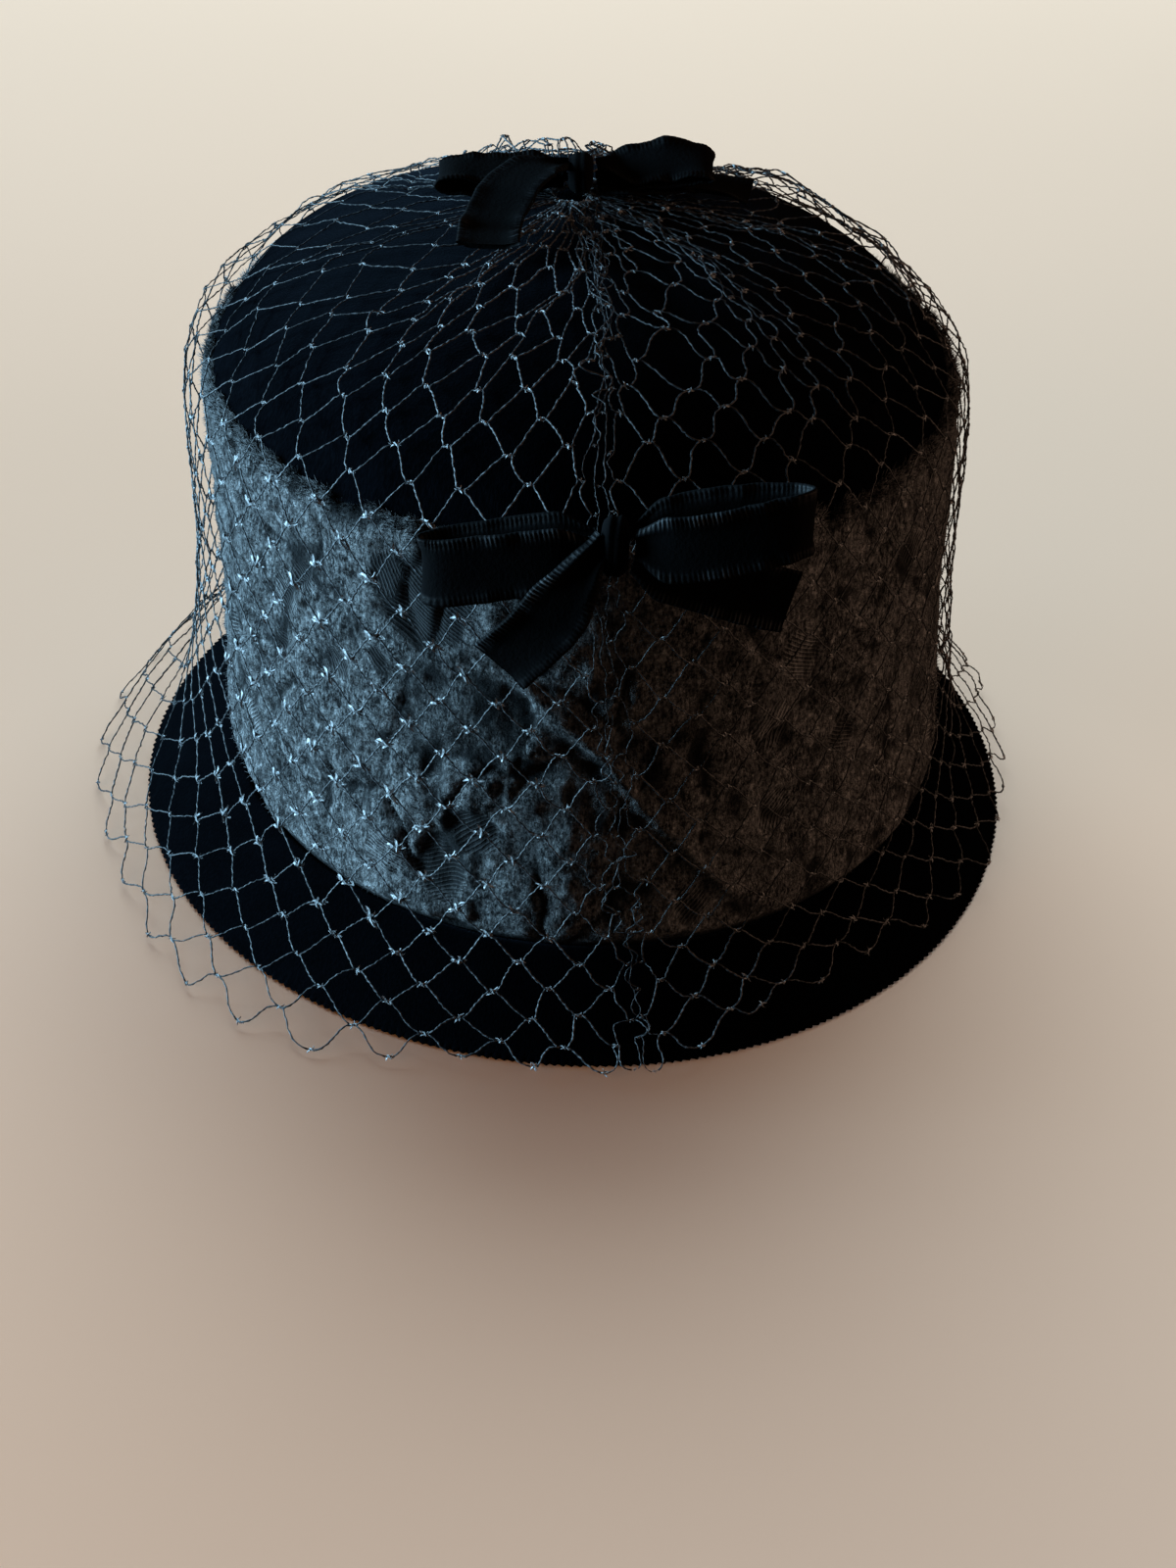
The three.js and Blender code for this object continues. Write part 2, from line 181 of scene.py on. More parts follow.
# ---------------------------------------------------------------- noise

LATTICE = 48
SEED_SHIFT = 7.31        # slides each seed's lattice, so that no two line up


def lumps(points, size, seed):
    """A smooth random field between -1 and 1: random values on a cubic lattice of a given size,
    eased between its corners."""
    values = np.random.default_rng(seed).uniform(-1, 1, (LATTICE, LATTICE, LATTICE))
    cell = points / size + seed * SEED_SHIFT
    corner = np.floor(cell).astype(int)
    part = cell - corner
    part = part * part * (3 - 2 * part)
    total = 0
    for x, y, z in np.ndindex(2, 2, 2):
        weight = np.where(x, part[..., 0], 1 - part[..., 0])
        weight = weight * np.where(y, part[..., 1], 1 - part[..., 1])
        weight = weight * np.where(z, part[..., 2], 1 - part[..., 2])
        spot = (corner + (x, y, z)) % LATTICE
        total = total + weight * values[spot[..., 0], spot[..., 1], spot[..., 2]]
    return total


def shifts(points, size, seed):
    """Three random fields as the parts of one vector."""
    return np.stack([lumps(points, size, seed + axis) for axis in range(3)], -1)


# ---------------------------------------------------------------- meshes


def ring_faces(rows, columns, close_rows, close_columns):
    """Quads of a grid of points numbered row by row, closed along either way or both."""
    r = np.arange(rows if close_rows else rows - 1)[:, None]
    c = np.arange(columns if close_columns else columns - 1)[None, :]
    r2 = (r + 1) % rows
    c2 = (c + 1) % columns
    quads = np.stack([r * columns + c, r * columns + c2, r2 * columns + c2, r2 * columns + c], -1)
    return quads.reshape(-1, 4)


def fan_faces(ring, pole):
    """Triangles from a closed ring of point numbers to one pole."""
    ring = np.asarray(ring)
    return np.stack([ring, np.roll(ring, -1), np.full(len(ring), pole)], -1)


def add_mesh(name, points, face_sets, material, smooth=True, values=None):
    """A mesh object from points in millimetres and arrays of faces with 3 or 4 corners. All faces
    turn over together if they enclose less than nothing. values are numbers kept at each point."""
    volume = 0
    for faces in face_sets:
        a, b, c = points[faces[:, 0]], points[faces[:, 1]], points[faces[:, 2]]
        volume += np.einsum("ij,ij->", a, np.cross(b, c))
        if faces.shape[1] == 4:
            volume += np.einsum("ij,ij->", a, np.cross(c, points[faces[:, 3]]))
    if volume < 0:
        face_sets = [faces[:, ::-1] for faces in face_sets]
    corners = np.concatenate([faces.ravel() for faces in face_sets])
    counts = np.concatenate([np.full(len(faces), faces.shape[1]) for faces in face_sets])
    mesh = bpy.data.meshes.new(name)
    mesh.vertices.add(len(points))
    mesh.vertices.foreach_set("co", (points * MM).astype(np.float32).ravel())
    mesh.loops.add(len(corners))
    mesh.loops.foreach_set("vertex_index", corners.astype(np.int32))
    mesh.polygons.add(len(counts))
    mesh.polygons.foreach_set("loop_start", (np.cumsum(counts) - counts).astype(np.int32))
    mesh.polygons.foreach_set("use_smooth", np.full(len(counts), smooth))
    for key, numbers in (values or {}).items():
        layer = mesh.attributes.new(key, "FLOAT", "POINT")
        layer.data.foreach_set("value", np.asarray(numbers, np.float32).ravel())
    mesh.update(calc_edges=True)
    mesh.validate()
    mesh.materials.append(material)
    piece = bpy.data.objects.new(name, mesh)
    bpy.context.scene.collection.objects.link(piece)
    return piece


hat_pieces = bpy.data.collections.new("hat_pieces")


def wear(piece, slot, *nodes):
    """The piece rides with the hat, joins the hat's pieces and hides the CAD nodes it stands for.
    slot is not used.
    """
    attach(piece, "root")
    hat_pieces.objects.link(piece)
    if nodes:
        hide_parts(*nodes)


def tube_mesh(name, paths, sideways, radii, sides, twist, material, smooth, values):
    """Closed tubes along many paths at once. Round each path point stand a few corners at the
    tube's radius, in the plane of the sideways vector and of its cross with the path's run; the
    ring turns by twist from one point to the next."""
    count, steps, _ = paths.shape
    run = unit(np.gradient(paths, axis=1))
    side = unit(sideways - (sideways * run).sum(-1, keepdims=True) * run)
    third = np.cross(run, side)
    angle = 2 * np.pi * np.arange(sides) / sides
    angle = angle[None, :] + twist * np.arange(steps)[:, None]
    ring = side[:, :, None] * np.cos(angle)[None, ..., None]
    ring = ring + third[:, :, None] * np.sin(angle)[None, ..., None]
    points = paths[:, :, None] + ring * np.broadcast_to(radii, (count, steps))[..., None, None]
    walls = ring_faces(steps, sides, False, True)
    first = np.arange(sides)[None, ::-1]
    last = np.arange(sides)[None, :] + (steps - 1) * sides
    shift = (np.arange(count) * steps * sides)[:, None, None]
    face_sets = [(walls[None] + shift).reshape(-1, 4)]
    face_sets.append((np.concatenate([first, last])[None] + shift).reshape(-1, sides))
    values = {key: np.repeat(number, sides) for key, number in values.items()}
    return add_mesh(name, points.reshape(-1, 3), face_sets, material, smooth, values)


# ---------------------------------------------------------------- materials


class Nodes:
    """A material's node tree, with short calls to add a node and join it up."""

    def __init__(self, name):
        """A new material with its shader."""
        self.material = bpy.data.materials.new(name)
        self.material.use_nodes = True
        self.tree = self.material.node_tree
        self.shader = self.tree.nodes["Principled BSDF"]

    def add(self, kind, settings=None, **inputs):
        """Adds a node. Inputs are named with underscores for spaces, or i0, i1 for a number."""
        node = self.tree.nodes.new("ShaderNode" + kind)
        for key, value in (settings or {}).items():
            setattr(node, key, value)
        for key, value in inputs.items():
            numbered = key[0] == "i" and key[1:].isdigit()
            socket = node.inputs[int(key[1:])] if numbered else node.inputs[key.replace("_", " ")]
            self.put(socket, value)
        return node

    def put(self, socket, value):
        """Links an output to a socket, or sets the socket to a number or colour."""
        if isinstance(value, bpy.types.NodeSocket):
            self.tree.links.new(value, socket)
        else:
            socket.default_value = value

    def set(self, **inputs):
        """Puts values into the shader's inputs."""
        for key, value in inputs.items():
            self.put(self.shader.inputs[key.replace("_", " ")], value)

    def math(self, operation, a, b=0.0, clamp=False):
        """One sum or other operation on two values."""
        node = self.add("Math", {"operation": operation, "use_clamp": clamp}, i0=a, i1=b)
        return node.outputs[0]

    def plus(self, a, b, clamp=False):
        """a plus b."""
        return self.math("ADD", a, b, clamp)

    def times(self, a, b, clamp=False):
        """a times b."""
        return self.math("MULTIPLY", a, b, clamp)

    def less(self, a, b, clamp=False):
        """a less b."""
        return self.math("SUBTRACT", a, b, clamp)

    def sine(self, name):
        """The sine of a number kept at the mesh's points."""
        return self.math("SINE", self.value(name))

    def mix(self, share, a, b):
        """Mixes two colours."""
        node = self.add("Mix", {"data_type": "RGBA"})
        self.put(node.inputs["Factor"], share)
        self.put(node.inputs[6], a)
        self.put(node.inputs[7], b)
        return node.outputs[2]

    def ramp(self, value, low, high, to_low=0.0, to_high=1.0):
        """Maps low..high to to_low..to_high, clamped and eased."""
        node = self.add("MapRange", {"interpolation_type": "SMOOTHSTEP"}, Value=value)
        for key, number in zip(("From Min", "From Max", "To Min", "To Max"),
                               (low, high, to_low, to_high)):
            node.inputs[key].default_value = number
        return node.outputs["Result"]

    def place(self, scale=(1, 1, 1)):
        """Object coordinates, stretched."""
        where = self.add("TexCoord").outputs["Object"]
        return self.add("Mapping", Vector=where, Scale=scale).outputs[0]

    def noise(self, where, scale, detail=2.0, rough=0.5):
        """Noise between 0 and 1, with scale lumps to the metre."""
        node = self.add("TexNoise", Vector=where, Scale=scale, Detail=detail, Roughness=rough)
        return node.outputs["Fac"]

    def value(self, name):
        """A number kept at the mesh's points."""
        return self.add("Attribute", {"attribute_name": name}).outputs["Fac"]

    def bump(self, height, distance, strength=1.0, normal=None):
        """A normal tilted by a height, on top of another normal if there is one."""
        node = self.add("Bump", Height=height, Distance=distance, Strength=strength)
        if normal is not None:
            self.put(node.inputs["Normal"], normal)
        return node.outputs["Normal"]


def colour(r, g, b):
    """An opaque colour."""
    return (r, g, b, 1.0)


def velvet_material(name, dark, light, sheen):
    """Cut pile: no gloss, a cool sheen at grazing angles, and a fine upright grain."""
    n = Nodes(name)
    fine = n.noise(n.place(scale=(1, 1, 0.16)), 1600.0, detail=3.0, rough=0.65)
    nap = n.noise(n.place(), 55.0, detail=3.0, rough=0.6)
    share = n.plus(n.ramp(fine, 0.35, 0.7, 0.0, 0.6), n.ramp(nap, 0.35, 0.75, 0.0, 0.4))
    n.set(Base_Color=n.mix(share, colour(*dark), colour(*light)))
    n.set(Roughness=1.0, Specular_IOR_Level=0.0)
    n.set(Sheen_Weight=sheen, Sheen_Roughness=0.45, Sheen_Tint=colour(0.62, 0.75, 1.0))
    n.set(Normal=n.bump(fine, 0.0003, 0.7, n.bump(nap, 0.0006, 0.35)))
    return n.material


def plush_material():
    """Brushed wool plush: soft mottled charcoal, with painted shading in its creases and dips, and
    patches rubbed down to the ribbed ground. The darkening number at the points holds painted
    shading and wear; patch is where the ribs show."""
    n = Nodes("band_plush")
    shade_and_wear = n.value("shade_and_wear")
    patch = n.value("patch")
    ribs = n.ramp(n.sine("rib_turn"), -0.4, 0.9)
    mottle = n.noise(n.place(), 560.0, detail=5.0, rough=0.72)
    cloud = n.noise(n.place(), 95.0, detail=3.0, rough=0.6)
    fibre = n.noise(n.place(scale=(1, 1, 0.4)), 1500.0, detail=3.0, rough=0.75)
    nap = n.times(n.ramp(mottle, 0.40, 0.62), n.less(1.0, patch))
    rib_share = n.times(ribs, patch)
    tone = n.plus(n.times(nap, 0.46), n.ramp(cloud, 0.34, 0.68, -0.04, 0.26))
    tone = n.plus(tone, n.times(rib_share, 0.5))
    tone = n.plus(tone, n.ramp(fibre, 0.42, 0.62, -0.10, 0.52))
    # Painted shading: the plush is painted darker in creases, pits, sunk patches, the ditch and at
    # its foot.
    tone = n.times(tone, n.ramp(shade_and_wear, 0.0, 0.9, 1.0, 0.03))
    tone = n.plus(tone, n.times(rib_share, 0.09), clamp=True)
    n.set(Base_Color=n.mix(tone, colour(0.012, 0.0123, 0.0128), colour(0.37, 0.373, 0.376)))
    n.set(Roughness=1.0, Specular_IOR_Level=0.05)
    n.set(Sheen_Weight=0.05, Sheen_Roughness=0.5, Sheen_Tint=colour(0.85, 0.93, 1.0))
    height = n.plus(n.times(nap, 0.7), n.times(rib_share, 0.7))
    height = n.plus(height, n.times(fibre, 0.5))
    n.set(Normal=n.bump(height, 0.0012, 1.0))
    return n.material


def fuzz_material():
    """Loose plush fibres, lighter at their tips, and painted dark in the plush's painted shading
    and on its rubbed patches.
    """
    n = Nodes("plush_fuzz")
    tip = n.less(n.value("along"), n.times(n.value("fuzz_shade_and_wear"), 1.5), clamp=True)
    n.set(Base_Color=n.mix(tip, colour(0.014, 0.0145, 0.0155), colour(0.19, 0.192, 0.195)))
    n.set(Roughness=0.95, Specular_IOR_Level=0.05)
    n.set(Sheen_Weight=0.05, Sheen_Roughness=0.5, Sheen_Tint=colour(0.8, 0.9, 1.0))
    return n.material


def ribbon_material():
    """Velvet ribbon, deep black on its pile. edge is 1 on the ribbed selvedge bands and rib is the
    phase of the ribs; the last number is each rib's painted highlight, how bright it is painted."""
    n = Nodes("bow_ribbon")
    edge = n.value("edge")
    ribs = n.ramp(n.sine("rib"), 0.0, 0.95)
    fine = n.noise(n.place(), 1100.0, detail=3.0, rough=0.6)
    thread = n.plus(n.times(ribs, n.value("painted_gleam")), n.ramp(fine, 0.3, 0.8, 0.0, 0.04))
    thread = n.times(edge, thread, clamp=True)
    n.set(Base_Color=n.mix(thread, colour(0.0011, 0.0011, 0.0014), colour(0.13, 0.14, 0.15)))
    n.set(Roughness=n.ramp(edge, 0.2, 0.9, 1.0, 0.5), Specular_IOR_Level=0.08)
    n.set(Normal=n.bump(fine, 0.0003, 0.5))
    return n.material


def thread_material(name, dark, light):
    """Two-ply silky thread: the plies' glints are painted as lighter and darker dashes of uneven
    strength. ply is the twist's phase, and the last number is painted shading, how much of its
    lightness the thread is painted with at a point."""
    n = Nodes(name)
    # Painted highlight: the twist's glints as lighter dashes along the thread.
    ply = n.ramp(n.sine("ply"), -0.9, 0.9, 0.25, 1.0)
    uneven = n.noise(n.place(), 650.0, detail=4.0, rough=0.7)
    share = n.times(ply, n.ramp(uneven, 0.36, 0.62, 0.15, 1.0))
    # Painted shading: the thread is painted darker where the net lies in shade.
    share = n.times(share, n.value("painted_shade"))
    n.set(Base_Color=n.mix(share, colour(*dark), colour(*light)))
    n.set(Roughness=0.5, Specular_IOR_Level=0.45)
    n.set(Normal=n.bump(uneven, 0.0003, 0.8))
    n.set(Sheen_Weight=0.04, Sheen_Roughness=0.4, Sheen_Tint=colour(0.85, 0.92, 1.0))
    return n.material


def floor_material():
    """Warm matt paper with a very faint mottle."""
    n = Nodes("stage_paper")
    faint = n.noise(n.place(), 3.0, detail=2.0)
    n.set(Base_Color=n.mix(faint, colour(0.82, 0.80, 0.74), colour(0.86, 0.84, 0.78)))
    n.set(Roughness=0.9, Specular_IOR_Level=0.2)
    return n.material


# ---------------------------------------------------------------- crown side

SIDE_COLUMNS = 740
SIDE_LEVELS = 118
SIDE_INNER_LEVELS = 6
PADS = 150               # raised pads of the crushed plush, with creases between them
PAD_RISE = 0.5
PAD_REACH = 7.0          # how far a pad goes on rising from its creases
PAD_SQUASH = (1.0, 1.0, 0.74)            # the pads are a little taller than they are wide
CREASE = 1.15            # half-width of a crease
CREASE_DEPTH = 0.6
PIT_DEPTH = 0.35
PATCH_DEPTH = 0.5        # of a ribbed patch whose own depth is 1
RIB_PITCH = 0.92         # from rib to rib of the plush's ground
RIDGE_HEIGHT = 1.2       # of the bias seam
RIDGE_HALF_WIDTH = 1.9
DITCH_DEPTH = 0.4        # of the ditch below it
DITCH_HALF_WIDTH = 1.7
DITCH_DROP = 4.0         # from the ridge down to the ditch
BIAS_SEAM = {            # the line of the soft seam across the back
    "turn": (-60, -25, -5.5, -1.5, 2.5, 6.5, 10, 14, 17.5, 23, 34, 60),
    "height": (130, 104, 83.5, 77.5, 71, 63.5, 55.5, 48, 41.5, 31, 22, 12),
}
PATCHES = {              # where the ribbed ground shows
    "turn": (-19.5, -25, -19, -14, -28, -35.5, -28, -45, -41, -48, 34, 29.5, 29.5, 17, 42),
    "height": (99.5, 103, 33, 44, 34, 76.5, 82.5, 86.5, 93, 72, 84.5, 69, 47.5, 28.5, 59),
    "radius": (13, 6, 9, 7, 6, 4, 3.5, 4.5, 4, 3.5, 7, 6, 6, 6, 4),
    "depth": (1.25, 1.1, 0.75, 1.15, 0.1, 0.8, 0.9, 0.2, 0.3, 0.7, 0.2, 0.2, 0.3, 0.5, 0.6),
    "rib_way": (0.5, 1.2, -0.35, -0.6, 0.3, 1.1, 0.9, 0.7, 0.6, 0.2, 0.4, -1.1, -0.9, -0.8, 0.5),
}
MORE_PATCHES = 44        # scattered round the rest of the band, within these ranges
PATCH_RANGES = {"turn": (58, 302), "height": (30, 104), "radius": (3, 7), "depth": (0.1, 0.9),
                "rib_way": (-1.2, 1.2)}
FOOT_ROLL = 1.6          # how far the plush rolls in at its foot
TUFT = 2.6               # how far tufts of the top edge climb over the velvet


def side_section():
    """The band's outer section as half-widths and heights."""
    rows = np.stack([SIDE_ROWS["half_width"], SIDE_ROWS["height"]], -1)
    return smooth_path(rows, SECTION_POINTS).T


def side_face(turn, height):
    """The smooth outer face of the plush band: its section read at a height, and its outward
    direction."""
    half_widths, heights = side_section()
    out = np.interp(height, heights, half_widths)
    points = place(turn, out, height)
    angle = np.radians(turn)
    flat = np.sin(angle) * LENGTH_RATIO, -np.cos(angle), np.zeros_like(angle)
    return points, unit(np.stack(np.broadcast_arrays(*flat), -1))


def nearest_two(points, seeds):
    """Distances from each point to its nearest two seeds."""
    first = np.full(len(points), np.inf)
    second = np.full(len(points), np.inf)
    for seed in seeds:
        gap = np.linalg.norm(points - seed, axis=1)
        second = np.minimum(second, np.maximum(first, gap))
        first = np.minimum(first, gap)
    return first, second


def ribbed_patches(turn, height, bend):
    """How far each point lies inside a ribbed patch, how deep the patch is sunk, and the phase
    of its ribs. A patch is round with a ragged outline, and its ribs run one way, bent a little."""
    rng = np.random.default_rng(13)
    columns = [np.append(PATCHES[key], rng.uniform(low, high, MORE_PATCHES))
               for key, (low, high) in PATCH_RANGES.items()]
    inside = np.zeros(turn.shape)
    depth = np.zeros(turn.shape)
    phase = np.zeros(turn.shape)
    for turn_0, height_0, radius, sunk, way in zip(*columns):
        across = wrapped(turn - turn_0) * np.pi / 180 * BASE_HALF_WIDTH * 1.1
        up = height - height_0
        near = 1 - rise(np.hypot(across, up) + 2.0 * bend, 0.55 * radius, 1.1 * radius)
        line = across * np.sin(way) + up * np.cos(way) + 0.05 * across * up / radius * 2 + bend
        phase = np.where(near > inside, line * 2 * np.pi / RIB_PITCH, phase)
        depth = np.maximum(depth, near * sunk)
        inside = np.maximum(inside, near)
    return inside, depth, phase


def bias_ridge(turn, height, points):
    """The soft seam across the back: how far a point lies on its ridge and in the ditch below
    it, each a bell curve across the seam's line, which wavers a little."""
    seam_height = np.interp(turn, BIAS_SEAM["turn"], BIAS_SEAM["height"])
    off_seam = (height - seam_height) * 0.72 + 0.8 * lumps(points, 6.0, 71)
    near = (1 - rise(turn, 18, 34)) * rise(turn, -11, -5)
    ridge = np.exp(-(off_seam / RIDGE_HALF_WIDTH) ** 2) * near
    return ridge, np.exp(-((off_seam + DITCH_DROP) / DITCH_HALF_WIDTH) ** 2) * near


def plush_relief(turn, height, points):
    """How far the plush stands off its smooth face, with the numbers its material reads.
    Soft pads rise between curved creases, most where the band is crushed at the lower left,
    ribbed patches are sunk, small pits dip in, and a soft bias seam crosses the back. The
    darkening number is painted shading in the creases, pits and ditch, wear and painted shading on
    the sunk patches, random dark streaks and a painted shadow at the foot; the ridge is painted
    lighter."""
    rng = np.random.default_rng(11)
    seeds, _ = side_face(rng.uniform(-180, 180, PADS), rng.uniform(FOOT, SIDE_TOP, PADS))
    warp = 5.5 * shifts(points, 12.0, 21) + 1.5 * shifts(points, 4.4, 24)
    flat = (points + warp).reshape(-1, 3) * PAD_SQUASH
    first, second = nearest_two(flat, seeds * PAD_SQUASH)
    gap = (second - first).reshape(turn.shape)
    creased = rise(lumps(points, 12.0, 5), -0.6, 0.0)
    crease = np.exp(-np.abs(gap / CREASE) ** 1.5) * creased
    pad = rise(gap, 0, PAD_REACH) * creased
    pit = rise(lumps(points * (1, 1, 0.8), 5.0, 61), 0.28, 0.62)
    bend = lumps(points, 9.0, 31)
    patch, depth, phase = ribbed_patches(turn, height, bend)
    ridge, ditch = bias_ridge(wrapped(turn), height, points)
    relief = PAD_RISE * pad - CREASE_DEPTH * crease - PATCH_DEPTH * depth - PIT_DEPTH * pit
    relief = relief + 0.4 * lumps(points * (1, 1, 0.8), 10.0, 2) + 0.42 * lumps(points, 4.2, 3)
    relief = relief + 0.26 * lumps(points, 2.0, 4)
    crushed = np.exp(-((wrapped(turn) + 22) / 22) ** 2) * (1 - rise(height, 50, 80))
    relief = relief * (1 + 0.7 * crushed)
    relief = relief * (1 - 0.6 * ridge) + RIDGE_HEIGHT * ridge - DITCH_DEPTH * ditch
    ends = rise(height, FOOT, FOOT + 3.0) * (0.35 + 0.65 * rise(-height, -SIDE_TOP, -SIDE_TOP + 5))
    foot_roll = -FOOT_ROLL * (1 - rise(height, FOOT, FOOT + 5.0)) ** 2
    streak = 0.36 * rise(lumps(points * (1, 1, 0.35), 2.2, 9), 0.0, 0.7)
    # Painted shading: darker in creases, pits, sunk patches and the ditch, lighter on the ridge,
    # with random dark streaks.
    shade_and_wear = (0.64 + 0.35 * crushed) * crease + 0.85 * depth + 0.46 * pit + 0.4 * ditch
    shade_and_wear = shade_and_wear - 0.35 * ridge + streak
    # Painted shadow where the plush rolls in at its foot.
    shade_and_wear = np.maximum(shade_and_wear, 0.9 * (1 - rise(height, FOOT, FOOT + 2.6)))
    numbers = {"shade_and_wear": np.clip(shade_and_wear, 0, 1), "patch": patch * (1 - ridge), "rib_turn": phase}
    return relief * ends + foot_roll, numbers


def tufts(height, points):
    """How far the plush's top edge climbs: nothing below its last few millimetres, and uneven
    tufts at the top."""
    uneven = 0.45 + 0.55 * lumps(points, 4.0, 81) + 0.35 * lumps(points, 1.8, 82)
    return TUFT * np.clip(uneven, 0, 1.3) * rise(height, SIDE_TOP - 5.0, SIDE_TOP - 0.5)


def build_crown_side(material):
    """A closed wall: the outer face with its relief going up, a plain inner face coming down."""
    level = np.linspace(0, 1, SIDE_LEVELS)
    heights = FOOT + (SIDE_TOP - FOOT) * level
    turns = np.linspace(-180, 180, SIDE_COLUMNS, endpoint=False)
    height, turn = np.meshgrid(heights, turns, indexing="ij")
    smooth, normal = side_face(turn, height)
    relief, numbers = plush_relief(turn, height, smooth)
    outer = smooth + normal * relief[..., None]
    outer[..., 2] += tufts(height, smooth)
    inner_height, inner_turn = np.meshgrid(np.linspace(SIDE_TOP, FOOT, SIDE_INNER_LEVELS), turns,
                                           indexing="ij")
    inner, inner_normal = side_face(inner_turn, inner_height)
    inner = inner - inner_normal * SIDE_WALL
    points = np.concatenate([outer, inner]).reshape(-1, 3)
    faces = ring_faces(SIDE_LEVELS + SIDE_INNER_LEVELS, SIDE_COLUMNS, True, True)
    rest = np.zeros((SIDE_INNER_LEVELS, SIDE_COLUMNS))
    values = {key: np.concatenate([number, rest]) for key, number in numbers.items()}
    piece = add_mesh("plush_band", points, [faces], material, values=values)
    wear(piece, "band_plush", "crown_side")


FUZZ = 26000             # fibres all over the band
EDGE_FUZZ = 12000        # further fibres along its top edge
FUZZ_LENGTH = (0.7, 1.6)
EDGE_FUZZ_LENGTH = (0.9, 2.6)
FUZZ_THICKNESS = (0.08, 0.17)
FUZZ_ROOT = 0.35         # how deep a fibre's root lies in the plush


def build_fuzz(material):
    """Short tapered fibres standing in the plush, with a longer fringe along its top edge. Each
    is a closed three-sided spike on the band's outer face."""
    rng = np.random.default_rng(4)
    count = FUZZ + EDGE_FUZZ
    turn = rng.uniform(-180, 180, count)
    height = rng.uniform(FOOT + 2.5, SIDE_TOP, count)
    height[FUZZ:] = SIDE_TOP - np.abs(rng.normal(0, 1.6, EDGE_FUZZ)) - 0.1
    points, normal = side_face(turn, height)
    relief, numbers = plush_relief(turn, height, points)
    # The plush's painted shading and its wear: the fibres there are short and painted dark.
    fuzz_shade_and_wear = np.maximum(numbers["shade_and_wear"], 0.8 * numbers["patch"])
    root = points + normal * (relief[:, None] - FUZZ_ROOT)
    root[:, 2] += tufts(height, points)
    length = rng.uniform(*FUZZ_LENGTH, count)
    length[FUZZ:] = rng.uniform(*EDGE_FUZZ_LENGTH, EDGE_FUZZ)
    length = length * (1 - 0.8 * fuzz_shade_and_wear)
    lean = rng.normal(0, 0.75, (count, 3))
    lean[FUZZ:, 2] += 1.3
    way = unit(normal + lean)
    tip = root + way * (length + FUZZ_ROOT)[:, None]
    side = unit(np.cross(way, rng.normal(0, 1, (count, 3))))
    third = np.cross(way, side)
    width = rng.uniform(*FUZZ_THICKNESS, count)[:, None]
    angle = np.radians((0, 120, 240))
    base = [root + width * (side * np.cos(a) + third * np.sin(a)) for a in angle]
    points = np.stack(base + [tip], 1).reshape(-1, 3)
    shift = 4 * np.arange(count)[:, None, None]
    spike = np.array([(0, 2, 1), (0, 1, 3), (1, 2, 3), (2, 0, 3)])
    faces = (spike[None] + shift).reshape(-1, 3)
    values = {"along": np.tile((0.0, 0.0, 0.0, 1.0), count), "fuzz_shade_and_wear": np.repeat(fuzz_shade_and_wear, 4)}
    piece = add_mesh("plush_fuzz", points, [faces], material, values=values)
    wear(piece, "band_plush")


# ---------------------------------------------------------------- crown tip

TIP_COLUMNS = 224
TIP_LEVELS = 66          # from the seam to the pole, up the outer face
TIP_INNER_LEVELS = 10    # and up the inner face


def tip_section(count, inset=0.0):
    """The tip's section from its seam to its top, moved in by an inset along its own normal."""
    line = smooth_path(np.stack([TIP_ROWS["half_width"], TIP_ROWS["height"]], -1), count)
    run = unit(np.gradient(line, axis=0))
    moved = line + np.stack([-run[:, 1], run[:, 0]], -1) * inset
    moved[-1] = 0, line[-1, 1] - inset
    return moved


def build_crown_tip(material):
    """A closed velvet cap: the outer face from seam to pole and the inner face back again."""
    turns = np.linspace(-180, 180, TIP_COLUMNS, endpoint=False)
    outer = tip_section(TIP_LEVELS)
    inner = tip_section(TIP_INNER_LEVELS, TIP_WALL)
    inner[0, 1] = outer[0, 1]
    rings = np.concatenate([outer[:-1], inner[-2::-1]])
    points = place(turns[None, :], rings[:, :1], rings[:, 1:])
    flat = points[:TIP_LEVELS - 1]
    ends = rise(outer[:-1, 1], outer[0, 1], outer[0, 1] + 4)[:, None]
    softness = 0.35 * lumps(flat, 22.0, 41) + 0.12 * lumps(flat, 6.0, 42)
    flat[..., 2] += softness * ends
    poles = place(np.zeros(2), np.zeros(2), np.array([outer[-1, 1], inner[-1, 1]]))
    count = len(rings)
    upper = ring_faces(TIP_LEVELS - 1, TIP_COLUMNS, False, True)
    lower = ring_faces(count - TIP_LEVELS + 1, TIP_COLUMNS, False, True)
    lower = lower + (TIP_LEVELS - 1) * TIP_COLUMNS
    first = np.arange(TIP_COLUMNS)
    last = first + (count - 1) * TIP_COLUMNS
    rim = np.stack([last, np.roll(last, -1), np.roll(first, -1), first], -1)
    top = first + (TIP_LEVELS - 2) * TIP_COLUMNS
    under = first + (TIP_LEVELS - 1) * TIP_COLUMNS
    pole = count * TIP_COLUMNS
    points = np.concatenate([points.reshape(-1, 3), poles])
    fans = [fan_faces(top, pole), fan_faces(under, pole + 1)[:, ::-1]]
    piece = add_mesh("velvet_tip", points, [upper, lower, rim, *fans], material)
    wear(piece, "tip_velvet", "crown_tip")


# ---------------------------------------------------------------- brim

BRIM_TEETH = 354         # points of the pinked edge
SAMPLES_PER_TOOTH = 3
TOOTH_DEPTH = 0.62
BRIM_LEVELS = 16
BRIM_UNDER_LEVELS = 5
BRIM_BULGE = 1.4
BRIM_EDGE_ROUND = 0.8
BRIM_EDGE_FLAT = 3.2     # the flat under the edge, on which the hat stands
BRIM_EDGE_CORNER = 0.3   # height of the corners on either side of that flat
BRIM_UNDER_DROP = 0.6    # from the top of the brim's seam down to its underside


